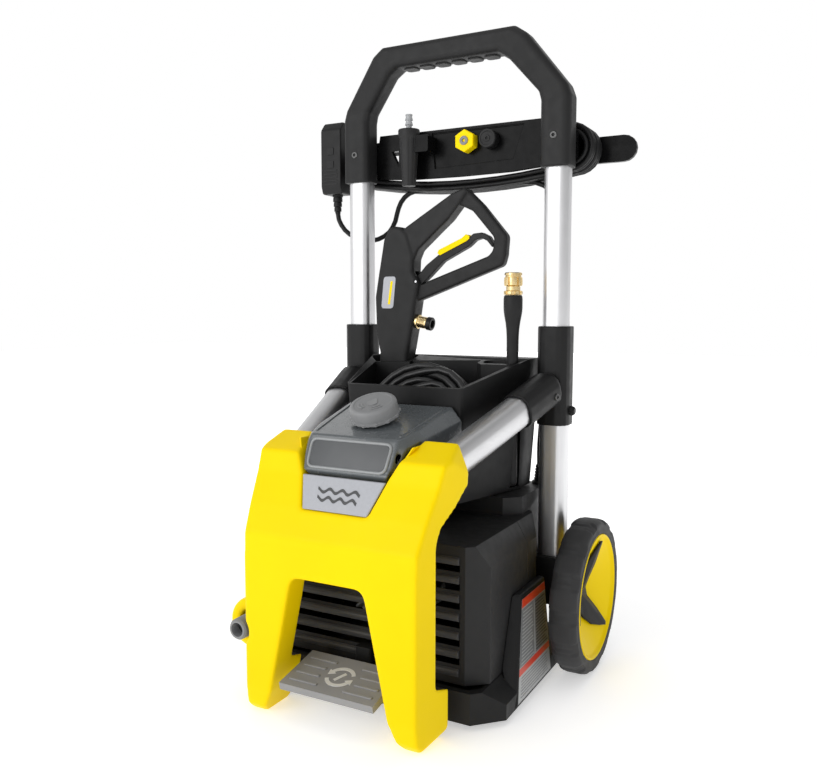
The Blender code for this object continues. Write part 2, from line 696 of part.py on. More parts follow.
def make_tank():
    """Smoky detergent tank, hollow, with a filler neck, and its cap."""
    tank = add_object("detergent_tank", skin(tank_rings()), "smoky_plastic")
    axis = (0, -math.sin(NECK_TILT), math.cos(NECK_TILT))
    mouth = (0, CAP_Y - NECK_RISE * math.sin(NECK_TILT),
             tank_top(CAP_Y) + NECK_RISE * math.cos(NECK_TILT))
    combine(tank, turned("tank_neck", [(0, -0.011), (NECK_RADIUS, -0.011), (NECK_RADIUS, 0.009),
                                       (0, 0.009)], mouth, axis, "smoky_plastic", 24), "UNION")
    combine(tank, add_object("tank_inside", skin(tank_rings(TANK_WALL)), "smoky_plastic"))
    combine(tank, turned("tank_mouth", [(0, -0.016), (NECK_RADIUS - 0.003, -0.016),
                                        (NECK_RADIUS - 0.003, 0.02), (0, 0.02)],
                         mouth, axis, "smoky_plastic", 24))
    bore = NECK_RADIUS / math.cos(math.pi / 24) + GAP * 2
    turned("tank_cap",
           [(bore, 0.0012), (CAP_RADIUS + 0.0022, 0.0012), (CAP_RADIUS + 0.0022, 0.0036),
            (CAP_RADIUS, 0.0042), (CAP_RADIUS - 0.0006, 0.0175), (CAP_RADIUS - 0.003, 0.0195),
            (0, 0.0200), (0, 0.0100), (bore, 0.0100)],
           mouth, axis, "light_grey_plastic", 36, ring=True, pivot=mouth)


# ------------------------------------------------------------------ housing and base
def panel_points(side, grow=0.0):
    """Corners of the raised side panel."""
    outer = [(0.1788, -0.174, 0.0085), (0.1788, -0.044, 0.0085),
             (0.1665, -0.044, 0.1350), (0.1665, -0.130, 0.1350)]
    points = []
    for index, (x, y, z) in enumerate(outer):
        front = -1 if index in (0, 3) else 1
        up = 1 if index in (2, 3) else -1
        inner_x = HOUSING_HALF_WIDTH + GAP - grow if z > BASE_TOP else 0.1700 - grow
        points.append((side * (x + grow), y + front * grow, z + up * grow))
        points.append((side * inner_x, y + front * (0.004 + grow), z + up * grow))
    points.append((side * (HOUSING_HALF_WIDTH + GAP - grow), -0.166, BASE_TOP + 0.002))
    points.append((side * (HOUSING_HALF_WIDTH + GAP - grow), -0.044, BASE_TOP + 0.002))
    return points


def housing_section(inward=0.0):
    """The housing seen from the front."""
    half = [(HOUSING_HALF_WIDTH, HOUSING_LOW), (HOUSING_HALF_WIDTH, 0.188), (0.140, HOUSING_TOP)]
    outline = mirrored(half)
    return inset(outline, inward) if inward else outline


def make_front_housing():
    """Louvred front half of the motor housing."""
    housing = prism("front_housing", housing_section(), "Y", HOUSING_FRONT_Y,
                    HOUSING_SEAM_Y - GAP / 2, "grey_plastic")
    plan = mirrored([(0.131, HOUSING_FRONT_Y - 0.0001), (HOUSING_HALF_WIDTH + 0.0001, -0.200),
                     (HOUSING_HALF_WIDTH + 0.0001, HOUSING_SEAM_Y + 0.01)])
    combine(housing, prism("housing_plan", plan, "Z", 0.02, 0.25, "grey_plastic"), "INTERSECT")
    inner = mirrored([(HOUSING_HALF_WIDTH - HOUSING_WALL, HOUSING_LOW - 0.01),
                      (HOUSING_HALF_WIDTH - HOUSING_WALL, 0.187), (0.1385, HOUSING_TOP - HOUSING_WALL)])
    hollow = prism("front_hollow", inner, "Y", HOUSING_FRONT_Y + HOUSING_WALL, HOUSING_SEAM_Y + 0.01,
                   "grey_plastic")
    inner_plan = mirrored([(0.129, HOUSING_FRONT_Y), (HOUSING_HALF_WIDTH - HOUSING_WALL, -0.1985),
                           (HOUSING_HALF_WIDTH - HOUSING_WALL, HOUSING_SEAM_Y + 0.02)])
    combine(hollow, prism("front_hollow_plan", inner_plan, "Z", 0.02, 0.25, "grey_plastic"),
            "INTERSECT")
    combine(housing, hollow)
    pitch = 0.0225
    bm = bmesh.new()
    for i in range(6):
        z = 0.0720 + i * pitch
        section = [(HOUSING_FRONT_Y - 0.002, z), (HOUSING_FRONT_Y + 0.006, z - 0.004),
                   (HOUSING_FRONT_Y + 0.006, z + 0.004), (HOUSING_FRONT_Y - 0.002, z + 0.0095)]
        low = [bm.verts.new((-0.124, y, h)) for y, h in section]
        high = [bm.verts.new((0.124, y, h)) for y, h in section]
        for k in range(4):
            bm.faces.new((low[k], low[(k + 1) % 4], high[(k + 1) % 4], high[k]))
        bm.faces.new(low[::-1])
        bm.faces.new(high)
    combine(housing, add_object("louvre_slots", bm, "grey_plastic"))


def make_rear_housing():
    """Rear half of the motor housing, with the seat of the storage bin on top."""
    half_plan = [(HOUSING_HALF_WIDTH, HOUSING_SEAM_Y + GAP / 2), (HOUSING_HALF_WIDTH, -0.046),
                 (REAR_HALF_WIDTH, -0.010), (REAR_HALF_WIDTH, REAR_BACK_Y)]
    housing = prism("rear_housing", housing_section(), "Y", HOUSING_SEAM_Y + GAP / 2, REAR_BACK_Y,
                    "grey_plastic")
    combine(housing, prism("rear_plan", mirrored(half_plan), "Z", 0.02, 0.25, "grey_plastic"),
            "INTERSECT")
    seat = mirrored([(0.112, -0.060), (REAR_HALF_WIDTH, -0.040), (REAR_HALF_WIDTH, REAR_BACK_Y)])
    combine(housing, prism("bin_seat", seat, "Z", HOUSING_TOP - 0.020, SEAT_TOP, "grey_plastic"),
            "UNION")
    wall = HOUSING_WALL
    inner = mirrored([(HOUSING_HALF_WIDTH - wall, HOUSING_SEAM_Y - 0.01),
                      (HOUSING_HALF_WIDTH - wall, -0.0475),
                      (REAR_HALF_WIDTH - wall, -0.0115), (REAR_HALF_WIDTH - wall, REAR_BACK_Y - wall)])
    combine(housing, prism("rear_hollow", inner, "Z", 0.02, 0.185, "grey_plastic"))
    combine(housing, turned("axle_way", [(0, -0.25), (AXLE_RADIUS + 0.0006, -0.25),
                                         (AXLE_RADIUS + 0.0006, 0.25), (0, 0.25)],
                            (0, AXLE_Y, WHEEL_RADIUS), (1, 0, 0), "grey_plastic", 24))


def make_base():
    """Base tray under the housing, with the pedal's two lugs."""
    half = [(0.145, -0.235), (BASE_HALF_WIDTH, -0.202), (BASE_HALF_WIDTH, 0.008),
            (REAR_HALF_WIDTH, 0.034), (REAR_HALF_WIDTH, REAR_BACK_Y)]
    tray = prism("base_tray", mirrored(half), "Z", BASE_LOW, BASE_TOP, "grey_plastic")
    flare = mirrored([(BASE_HALF_WIDTH + 0.001, BASE_LOW - 0.001), (BASE_HALF_WIDTH + 0.001, 0.026),
                      (HOUSING_HALF_WIDTH, BASE_TOP + 0.0001)])
    combine(tray, prism("tray_flare", flare, "Y", -0.25, 0.08, "grey_plastic"), "INTERSECT")
    inner = mirrored([(0.138, -0.226), (0.150, -0.214), (0.150, 0.004), (REAR_HALF_WIDTH - 0.006, 0.028),
                      (REAR_HALF_WIDTH - 0.006, REAR_BACK_Y - 0.006)])
    combine(tray, prism("tray_hollow", inner, "Z", BASE_LOW + 0.004, BASE_TOP + 0.01,
                        "grey_plastic"))
    py, pz = PEDAL_PIVOT
    for side in (-1, 1):
        combine(tray, hull(f"panel_pocket_{side_name(side)}", panel_points(side, GAP),
                           "grey_plastic"))
        lug = [(-0.228, 0.024), (-0.228, 0.044), *arc((py, pz), 0.006, 45, 225, 5)]
        combine(tray, prism(f"pedal_lug_{side_name(side)}", lug, "X",
                            side * 0.0585, side * 0.0640, "grey_plastic"), "UNION")
    combine(tray, turned("pin_hole", [(0, -0.08), (0.0032, -0.08), (0.0032, 0.08), (0, 0.08)],
                         (0, py, pz), (1, 0, 0), "grey_plastic", 12))
    for side in (-1, 1):
        panel = hull(f"side_panel_{side_name(side)}", panel_points(side), "black_plastic")
        soften(panel, 0.0020)


def make_pedal():
    """Foot pedal on its pin, its switch and the switch's plunger."""
    py, pz = PEDAL_PIVOT
    plate = [(PEDAL_FRONT_Y + 0.002, 0.040), (PEDAL_FRONT_Y, 0.0490), (-0.2505, 0.0630),
             (-0.2505, 0.0550), (-0.262, 0.0500)]
    pedal = prism("foot_pedal", plate, "X", -0.0645, 0.0645, "light_grey_plastic",
                  pivot=(0, py, pz))
    barrel = [(-0.262, 0.0510), *arc((py, pz), 0.0058, 250, 440, 7), (-0.252, 0.0600)]
    combine(pedal, prism("pedal_barrel", barrel, "X", -0.0580, 0.0580, "grey_plastic"), "UNION")
    toe = [(py + 0.002, pz - 0.003), (py + 0.0135, pz - 0.002), (py + 0.0135, pz + 0.002),
           (py + 0.002, pz + 0.003)]
    combine(pedal, prism("pedal_toe", toe, "X", -0.008, 0.008, "grey_plastic"), "UNION")
    bore = 0.0028 / math.cos(math.pi / 12) + RUNNING_GAP
    combine(pedal, turned("pedal_bore", [(0, -0.08), (bore, -0.08), (bore, 0.08), (0, 0.08)],
                          (0, py, pz), (1, 0, 0), "grey_plastic", 12))
    turned("pedal_pin", [(0, -0.0655), (0.0028, -0.0655), (0.0028, 0.0655), (0, 0.0655)],
           (0, py, pz), (1, 0, 0), "steel", 12)
    switch_y = py + 0.011
    body = prism("power_switch", rounded_rect(0.022, 0.0160, 0.002, (0, -0.2285), 1), "Z",
                 pz + 0.0060, pz + 0.0240, "black_plastic")
    combine(body, turned("plunger_way", [(0, 0), (0.0024, 0), (0.0024, 0.0160), (0, 0.0160)],
                         (0, switch_y, pz), (0, 0, 1), "black_plastic", 12))
    turned("switch_plunger", [(0, 0), (0.0022, 0), (0.0022, 0.0100), (0, 0.0100)],
           (0, switch_y, pz + 0.0024), (0, 0, 1), "light_grey_plastic", 12,
           pivot=(0, switch_y, pz + 0.0024))


# ------------------------------------------------------------------ storage bin
HOLSTER = (-0.092, GUN_Y, 0.064, 0.040)       # middle X and Y, width and depth
HOLSTER_FLOOR = 0.372
SLOT_RADIUS = 0.011
SLOT_LOW_X = 0.062


def bin_rim(y):
    """Height of the bin's rim at a place along Y."""
    if y > 0:
        return BIN_BACK_RIM
    return BIN_BACK_RIM + (BIN_BACK_RIM - BIN_FRONT_RIM) * y / -BIN_FRONT_Y


def bin_outline(inward=0.0):
    """The bin seen from above, at its rim."""
    half = [*arc((BIN_FRONT_HALF - 0.010, BIN_FRONT_Y + 0.010), 0.010, -90, -15, 2),
            (BIN_BACK_HALF, 0.0), (BIN_BACK_HALF, BIN_BACK_Y)]
    outline = mirrored(half)
    return inset(outline, inward) if inward else outline


def make_bin():
    """Open bin for the hose, with a holster for the gun and a slot for the lance."""
    top = [(x, y, bin_rim(y)) for x, y in bin_outline()]
    bottom = [(x * 0.90, y * 0.95, BIN_LOW) for x, y in bin_outline()]
    box = add_object("storage_bin", skin([bottom, top]), "black_plastic")
    slot_right = BIN_BACK_HALF - 0.0085
    front_half = BIN_FRONT_HALF - BIN_WALL - 0.002
    cavity = [(-front_half, BIN_FRONT_Y + BIN_WALL), (front_half, BIN_FRONT_Y + BIN_WALL),
              (0.1095, -0.030), (SLOT_LOW_X + 0.004, -0.030), (SLOT_LOW_X - 0.006, -0.020),
              (SLOT_LOW_X - 0.006, -0.006), (-0.055, -0.006), (-0.055, -0.014),
              (-0.1135, -0.014)]
    floor = [(x * 0.92, y * 0.97, BIN_LOW + BIN_FLOOR) for x, y in cavity]
    mouth = [(x * 1.002, y, BIN_BACK_RIM + 0.012) for x, y in cavity]
    combine(box, add_object("bin_cavity", skin([floor, mouth]), "black_plastic"))
    holster = rounded_rect(HOLSTER[2], HOLSTER[3], 0.008, HOLSTER[:2])
    combine(box, prism("holster_pocket", holster, "Z", HOLSTER_FLOOR, BIN_BACK_RIM + 0.02,
                       "black_plastic"))
    slot = slot_outline(SLOT_LOW_X, slot_right, LANCE_Y, SLOT_RADIUS)
    combine(box, prism("lance_slot", slot, "Z", BIN_LOW + 0.004, BIN_BACK_RIM + 0.02,
                       "black_plastic"))


# ------------------------------------------------------------------ gun and lance
def make_gun():
    """Trigger gun standing in the bin's holster."""
    body = [(-0.114, 0.380), (-0.066, 0.380), (-0.0640, 0.420), (-0.0570, 0.457),
            (-0.0500, 0.501), (-0.0445, 0.527), (-0.0550, 0.544), (-0.0540, 0.568),
            (-0.0640, 0.598), (-0.0740, 0.608), (-0.0850, 0.610), (-0.0940, 0.609),
            (-0.1080, 0.592), (-0.1180, 0.548), (-0.1250, 0.507), (-0.1230, 0.455),
            (-0.1160, 0.418)]
    gun = prism("gun_body", body, "Y", GUN_Y - 0.016, GUN_Y + 0.016, "black_plastic")
    soften(gun, 0.0050, 2)
    grip = [(-0.0560, 0.556), (-0.0480, 0.574), (-0.0180, 0.600), (0.0010, 0.616),
            (0.0170, 0.6350), (0.0310, 0.6545), (0.0270, 0.6590), (0.0060, 0.6520),
            (-0.0180, 0.638), (-0.0700, 0.6070), (-0.0780, 0.580)]
    combine(gun, soften(prism("gun_grip", grip, "Y", GUN_Y - 0.0135, GUN_Y + 0.0135,
                              "black_plastic"), 0.0045, 2), "UNION")
    guard = [(0.0270, 0.6580), (0.0520, 0.634), (0.0890, 0.590), (0.0870, 0.563),
             (0.0830, 0.549), (-0.0540, 0.4990), (-0.0600, 0.520), (-0.0420, 0.527),
             (0.0600, 0.5630), (0.0670, 0.570), (0.0690, 0.588), (0.0360, 0.626),
             (0.0170, 0.635), (0.0050, 0.640)]
    combine(gun, soften(prism("gun_guard", guard, "Y", GUN_Y - 0.0085, GUN_Y + 0.0085,
                              "black_plastic"), 0.0025), "UNION")
    combine(gun, prism("trigger_slot", rounded_rect(0.034, 0.030, 0.006, (-0.052, 0.529)), "Y",
                       GUN_Y - TRIGGER_HALF - 0.0006, GUN_Y + TRIGGER_HALF + 0.0006,
                       "black_plastic"))
    combine(gun, turned("trigger_pin_hole", [(0, -0.02), (0.0020, -0.02), (0.0020, 0.02),
                                             (0, 0.02)],
                        (*TRIGGER_PIVOT[:1], GUN_Y, TRIGGER_PIVOT[1]), (0, 1, 0),
                        "black_plastic", 12))
    turned("gun_inlet",
           [(0, GAP), (0.0105, GAP), (0.0105, 0.004), (0.0088, 0.0045), (0.0088, 0.017),
            (0.0110, 0.0175), (0.0110, 0.0255), (0.0060, 0.0255), (0.0060, 0.012), (0, 0.012)],
           (-0.0548, GUN_Y, 0.4710), (0.988, 0, -0.157), "brass", 20)


TRIGGER_HALF = 0.0060
TRIGGER_PIVOT = (-0.0500, 0.5290)


def make_trigger():
    """Trigger, its pin and the yellow lock on its upper side."""
    px, pz = TRIGGER_PIVOT
    pivot = (px, GUN_Y, pz)
    outline = [*arc((px, pz), 0.0070, 135, 330, 6), (-0.0310, 0.5370), (-0.0100, 0.557),
               (0.0300, 0.577), (0.0400, 0.5855), (0.0500, 0.5880), (0.0580, 0.5840),
               (0.0655, 0.5750), (0.0680, 0.5790), (0.0610, 0.5905), (0.0500, 0.5960),
               (0.0370, 0.595), (0.0220, 0.583), (-0.0160, 0.568), (-0.0370, 0.553)]
    trigger = prism("gun_trigger", outline, "Y", GUN_Y - TRIGGER_HALF, GUN_Y + TRIGGER_HALF,
                    "black_plastic", pivot)
    bore = 0.0016 / math.cos(math.pi / 12) + RUNNING_GAP
    combine(trigger, turned("trigger_bore", [(0, -0.02), (bore, -0.02), (bore, 0.02), (0, 0.02)],
                            pivot, (0, 1, 0), "black_plastic", 12))
    turned("trigger_pin", [(0, -0.0145), (0.0016, -0.0145), (0.0016, 0.0145), (0, 0.0145)],
           pivot, (0, 1, 0), "steel", 12)
    latch = [(-0.0150, 0.5690), (0.0215, 0.5838), (0.0300, 0.5908), (0.0270, 0.5945),
             (0.0200, 0.5890), (-0.0165, 0.5740)]
    prism("trigger_latch", latch, "Y", GUN_Y - 0.0045, GUN_Y + 0.0045, "yellow_plastic",
          pivot=(-0.0155, GUN_Y, 0.5715))


def make_lance():
    """Lance standing in the bin's slot, with its brass coupling on top."""
    low = BIN_LOW + 0.006
    turned("lance", [(0, low), (0.0065, low), (0.0078, low + 0.004), (0.0080, 0.462),
                     (0.0095, 0.470), (0.0128, 0.484), (0.0130, 0.505), (0.0120, 0.508),
                     (0, 0.508)],
           (LANCE_X, LANCE_Y, 0), (0, 0, 1), "black_plastic", 20)
    turned("lance_coupling",
           [(0.0055, 0.5083), (0.0128, 0.5083), (0.0132, 0.5120), (0.0092, 0.5130),
            (0.0092, 0.5190), (0.0118, 0.5200), (0.0126, 0.5260), (0.0118, 0.5360),
            (0.0100, 0.5385), (0.0055, 0.5385)],
           (LANCE_X, LANCE_Y, 0), (0, 0, 1), "brass", 20, ring=True)


# ------------------------------------------------------------------ wheels
def dish(radius):
    """How far out the wheel disc's dished face stands at a radius."""
    return WHEEL_OUTER_X - 0.0045 - (0.078 - radius) * 0.45


def make_wheels():
    """Tyre, dished disc and three-armed hub cap on each side, and the axle."""
    inner_x = WHEEL_OUTER_X - WHEEL_WIDTH
    bore = AXLE_RADIUS / math.cos(math.pi / 24) + RUNNING_GAP
    for side in (-1, 1):
        name = side_name(side)
        pivot = (side * WHEEL_OUTER_X, AXLE_Y, WHEEL_RADIUS)
        centre = (0, AXLE_Y, WHEEL_RADIUS)
        direction = (side, 0, 0)
        turned(f"tyre_{name}",
               [(DISC_RADIUS + GAP, inner_x + 0.002), (0.0950, inner_x),
                (0.1015, inner_x + 0.003), (WHEEL_RADIUS, inner_x + 0.008),
                (WHEEL_RADIUS, WHEEL_OUTER_X - 0.008), (0.1015, WHEEL_OUTER_X - 0.003),
                (0.0950, WHEEL_OUTER_X), (DISC_RADIUS + GAP, WHEEL_OUTER_X - 0.001)],
               centre, direction, "tyre_rubber", 48, ring=True, pivot=pivot)
        turned(f"wheel_disc_{name}",
               [(bore, inner_x - 0.009), (0.0150, inner_x - 0.009), (0.0170, inner_x - 0.001),
                (0.0740, inner_x + 0.021), (0.0800, inner_x + 0.004),
                (DISC_RADIUS, inner_x + 0.004), (DISC_RADIUS, WHEEL_OUTER_X - 0.0005),
                (0.0817, WHEEL_OUTER_X - 0.0002), (0.0780, dish(0.078)), (0.0180, dish(0.018)),
                (0.0160, dish(0.018) + 0.003), (bore, dish(0.018) + 0.003)],
               centre, direction, "yellow_plastic", 24 * 2, ring=True, pivot=pivot)
        make_hub_cap(name, side, pivot)
    reach = dish(0.018) + 0.0025
    turned("axle", [(0, -reach), (AXLE_RADIUS, -reach), (AXLE_RADIUS, reach), (0, reach)],
           (0, AXLE_Y, WHEEL_RADIUS), (1, 0, 0), "steel", 24)
    for side in (-1, 1):
        name = side_name(side)
        block = prism(f"axle_bracket_{name}",
                      rounded_rect(0.045, 0.051, 0.006, (side * UPRIGHT_X, AXLE_Y + 0.0165), 2),
                      "Z", WHEEL_RADIUS - 0.020, WHEEL_RADIUS + 0.046, "black_plastic")
        combine(block, prism(f"bracket_bore_{name}", upright_outline(LOWER_TUBE, side, GAP), "Z",
                             WHEEL_RADIUS + 0.0141, WHEEL_RADIUS + 0.06, "black_plastic"))
        combine(block, turned(f"bracket_axle_{name}",
                              [(0, 0), (AXLE_RADIUS + GAP, 0), (AXLE_RADIUS + GAP, 0.3),
                               (0, 0.3)],
                              (0, AXLE_Y, WHEEL_RADIUS), (side, 0, 0), "black_plastic", 24))


def make_hub_cap(name, side, pivot):
    """Black cap with three tapered arms, lying on the dished disc."""
    outline = []
    for arm in range(3):
        middle = 71 + arm * 120
        for offset, radius in ((-62, 0.0220), (-38, 0.0340), (-21, 0.0500), (-7, 0.0645),
                               (0, 0.0745), (3.5, 0.0730), (12, 0.0500), (28, 0.0280)):
            outline.append((math.radians(middle + offset), radius))
    bm = bmesh.new()
    levels = []
    for lift_by in (GAP * 3, 0.0042):
        ring = []
        for angle, radius in outline:
            x = max(dish(radius), dish(0.018) + 0.0032) + lift_by
            ring.append(bm.verts.new((side * x, AXLE_Y + radius * math.cos(angle),
                                      WHEEL_RADIUS + radius * math.sin(angle))))
        middle = bm.verts.new((side * (dish(0.018) + 0.0032 + lift_by), AXLE_Y, WHEEL_RADIUS))
        levels.append((ring, middle))
    count = len(outline)
    for ring, middle in levels:
        for i in range(count):
            bm.faces.new((ring[i], ring[(i + 1) % count], middle))
    for i in range(count):
        j = (i + 1) % count
        bm.faces.new((levels[0][0][i], levels[0][0][j], levels[1][0][j], levels[1][0][i]))
    add_object(f"hub_cap_{name}", bm, "black_plastic", pivot)


# ------------------------------------------------------------------ motor and pump
def gear_outline(teeth, centre, phase=0.0):
    """Trapezoid-toothed gear seen along its axis."""
    pitch_radius = teeth * GEAR_MODULE / 2
    points = []
    for tooth in range(teeth):
        for share, height in ((-0.30, -1.20), (-0.15, 0.80), (0.15, 0.80), (0.30, -1.20)):
            angle = 2 * math.pi * (tooth + share + phase) / teeth
            radius = pitch_radius + height * GEAR_MODULE
            points.append((centre[0] + radius * math.cos(angle),
                           centre[1] + radius * math.sin(angle)))
    return points


def make_drive():
    """Motor, fan, gear pair with the swash plate, and the pump."""
    front = HOUSING_FRONT_Y + 0.030
    turned("motor_can", [(0.014, 0.0), (MOTOR_RADIUS, 0.0), (MOTOR_RADIUS, 0.086), (0.014, 0.086),
                         (0.014, 0.083), (MOTOR_RADIUS - 0.002, 0.083),
                         (MOTOR_RADIUS - 0.002, 0.003), (0.014, 0.003)],
           (0, front + 0.006, MOTOR_Z), (0, 1, 0), "steel", 32, ring=True)
    shaft_end = 0.108
    rotor = turned("motor_rotor", [(0, -0.016), (0.004, -0.016), (0.004, 0.014), (0.030, 0.014),
                                   (0.030, 0.072), (0.012, 0.074), (0.012, 0.084),
                                   (0.004, 0.084), (0.004, shaft_end - 0.012), (0, shaft_end - 0.012)],
                   (0, front, MOTOR_Z), (0, 1, 0), "steel", 24, pivot=(0, front, MOTOR_Z))
    combine(rotor, prism("pinion", gear_outline(PINION_TEETH, (0, MOTOR_Z)), "Y",
                         front + shaft_end - 0.013, front + shaft_end, "steel"), "UNION")
    fan = turned("cooling_fan", [(0.0043, -0.0145), (0.012, -0.0145), (0.012, -0.006), (0.036, -0.005),
                                 (0.036, -0.003), (0.0043, -0.003)],
                 (0, front, MOTOR_Z), (0, 1, 0), "grey_plastic", 24, ring=True,
                 pivot=(0, front, MOTOR_Z))
    for blade in range(8):
        turn = Matrix.Translation((0, 0, MOTOR_Z)) @ Matrix.Rotation(blade * math.pi / 4, 4, "Y")
        corners = [turn @ Vector((x, y, z)) for x in (0.011, 0.035) for y in (front - 0.0145, front - 0.004)
                   for z in (-0.0010 + (y - front) * 0.4, 0.0012 + (y - front) * 0.4)]
        combine(fan, hull(f"fan_blade_{blade}", corners, "grey_plastic"), "UNION")
    gear_z = MOTOR_Z - (PINION_TEETH + GEAR_TEETH) * GEAR_MODULE / 2
    phase = 0.25 * GEAR_TEETH - int(0.25 * GEAR_TEETH) + 0.5
    gear_y = front + shaft_end - 0.012
    gear = prism("drive_gear", gear_outline(GEAR_TEETH, (0, gear_z), phase), "Y", gear_y,
                 gear_y + 0.009, "light_grey_plastic", pivot=(0, gear_y, gear_z))
    combine(gear, turned("swash_plate", [(0, 0.008), (0.018, 0.008), (0.018, 0.012), (0.024, 0.018),
                                         (0.024, 0.022), (0, 0.027)],
                         (0, gear_y, gear_z), (0, 1, 0), "light_grey_plastic", 24), "UNION")
    pump_y = gear_y + 0.0285
    turned("pump_head", [(0, 0), (0.030, 0), (0.030, 0.014), (0.024, 0.016), (0.024, 0.034),
                         (0.014, 0.036), (0, 0.036)],
           (0, pump_y, gear_z), (0, 1, 0), "aluminium", 24)


OUTLET = (0.071, -0.052)


def make_outlet():
    """Pump outlet that stands on the bin's floor and feeds the hose."""
    base = BIN_LOW + BIN_FLOOR + GAP
    turned("outlet_fitting", [(0, base), (0.0125, base), (0.0125, base + 0.010), (0.0095, base + 0.011),
                              (0.0095, base + 0.022), (0.0078, base + 0.030), (0, base + 0.030)],
           (*OUTLET, 0), (0, 0, 1), "brass", 12)


# ------------------------------------------------------------------ hose and cord
def coil_frame():
    """Across, upward and axis directions of the leaning hose coil."""
    axis = Vector((0, -math.cos(COIL_LEAN), math.sin(COIL_LEAN)))
    upward = Vector((0, math.sin(COIL_LEAN), math.cos(COIL_LEAN)))
    return Vector((1, 0, 0)), upward, axis


def coil_point(radius, degrees, along):
    """A point at a radius, angle and place along the coil's axis."""
    across, upward, axis = coil_frame()
    angle = math.radians(degrees)
    return (COIL_CENTRE + across * radius * math.cos(angle) + upward * radius * math.sin(angle)
            + axis * along)


def make_hose():
    """Coiled pressure hose in the bin, from the outlet to its coupling."""
    step = 2 * HOSE_RADIUS
    inner = HOSE_INNER_RADIUS - HOSE_RADIUS
    outer = inner + HOSE_LAYERS * step
    half = HOSE_COLUMNS * step / 2
    edge = 0.003
    turned("hose_coil", [(inner, -half + edge), (inner + edge, -half), (outer - edge, -half),
                         (outer, -half + edge), (outer, half - edge), (outer - edge, half),
                         (inner + edge, half), (inner, half - edge)],
           COIL_CENTRE, coil_frame()[2], "cord_rubber", 40, ring=True)
    behind = -half - HOSE_RADIUS - 0.0006
    middle = HOSE_INNER_RADIUS + step * (HOSE_LAYERS - 1)
    top = BIN_LOW + BIN_FLOOR + 0.0315
    route = [(*OUTLET, top), (OUTLET[0] + 0.0004, OUTLET[1] - 0.0006, top + 0.012),
             coil_point(middle, -8, behind - 0.003), coil_point(middle, 12, behind),
             coil_point(middle, 32, behind), coil_point(middle, 52, behind)]
    cord_tube("hose_tail", route, HOSE_RADIUS, 3)
    leave = math.radians(215)
    across, upward, _ = coil_frame()
    heading = -across * math.sin(leave) + upward * math.cos(leave)
    middle_of_coupling = coil_point(0.046, 215, -half - 0.0112) + heading * 0.019
    turned("hose_coupling", [(0, -0.018), (0.0062, -0.018), (0.0075, -0.008), (0.0100, -0.006),
                             (0.0100, 0.014), (0.0085, 0.018), (0, 0.018)],
           middle_of_coupling, heading, "grey_plastic", 16)


def winding_outline(half_height):
    """Round-ended outline of the cord winding; its lower run sags a little."""
    right = arc((HOOK_X, HOOK_Z), half_height, -90, 90, 10)
    left = arc((-HOOK_X, HOOK_Z), half_height, 90, 270, 10)
    run = []
    for i in range(1, 8):
        x = -HOOK_X + 2 * HOOK_X * i / 8
        run.append((x, HOOK_Z - half_height - CORD_SAG * (1 - (x / HOOK_X) ** 2)))
    return right + left + run


def make_power_cord():
    """The cord wound on its hooks, its two free stretches, its gland and its plug."""
    inner = HOOK_HALF_HEIGHT + 0.0005
    outer = inner + CORD_LAYERS * CORD_PITCH
    hollow_prism("cord_winding", winding_outline(outer), winding_outline(inner), "Y",
                 WINDING_FRONT, WINDING_BACK - GAP, "cord_rubber")
    gland = (0.122, 0.054)
    turned("cord_gland", [(0, SEAT_TOP + GAP), (0.0105, SEAT_TOP + GAP), (0.0105, SEAT_TOP + 0.004),
                          (0.0070, SEAT_TOP + 0.006), (0.0052, SEAT_TOP + 0.028), (0, SEAT_TOP + 0.028)],
           (*gland, 0), (0, 0, 1), "black_plastic", 16)
    low_run = HOOK_Z - outer
    feed_x = 0.141
    cord_tube("cord_feed",
              [(*gland, SEAT_TOP + 0.0284), (*gland, 0.300), (0.126, 0.056, 0.360),
               (0.134, 0.058, 0.430), (0.140, 0.060, 0.500), (feed_x, 0.062, 0.570),
               (feed_x, 0.062, 0.630),
               (feed_x, 0.062, low_run - CORD_SAG * (1 - (feed_x / HOOK_X) ** 2) - 0.0010)],
              CORD_RADIUS)
    lead_x = -0.118
    relief_low = (PLUG[0], PLUG[1], PLUG[2] - PLUG_SIZE[2] / 2 - 0.028)
    cord_tube("plug_lead",
              [(relief_low[0], relief_low[1], relief_low[2] - 0.0012),
               (relief_low[0] + 0.001, relief_low[1], relief_low[2] - 0.014),
               (-0.200, 0.046, 0.612), (-0.180, 0.054, 0.598), (-0.156, 0.060, 0.596),
               (-0.134, 0.064, 0.610), (-0.121, 0.065, 0.636),
               (lead_x, 0.065, low_run - CORD_SAG * (1 - (lead_x / HOOK_X) ** 2) - 0.0010)],
              CORD_RADIUS)


PLUG_SIZE = (0.037, 0.040, 0.110)
PLUG_GAP = 0.002              # between the plug and the winding beside it
PLUG = (-(HOOK_X + HOOK_HALF_HEIGHT + CORD_LAYERS * CORD_PITCH + PLUG_GAP + PLUG_SIZE[0] / 2),
        0.044, 0.7230)


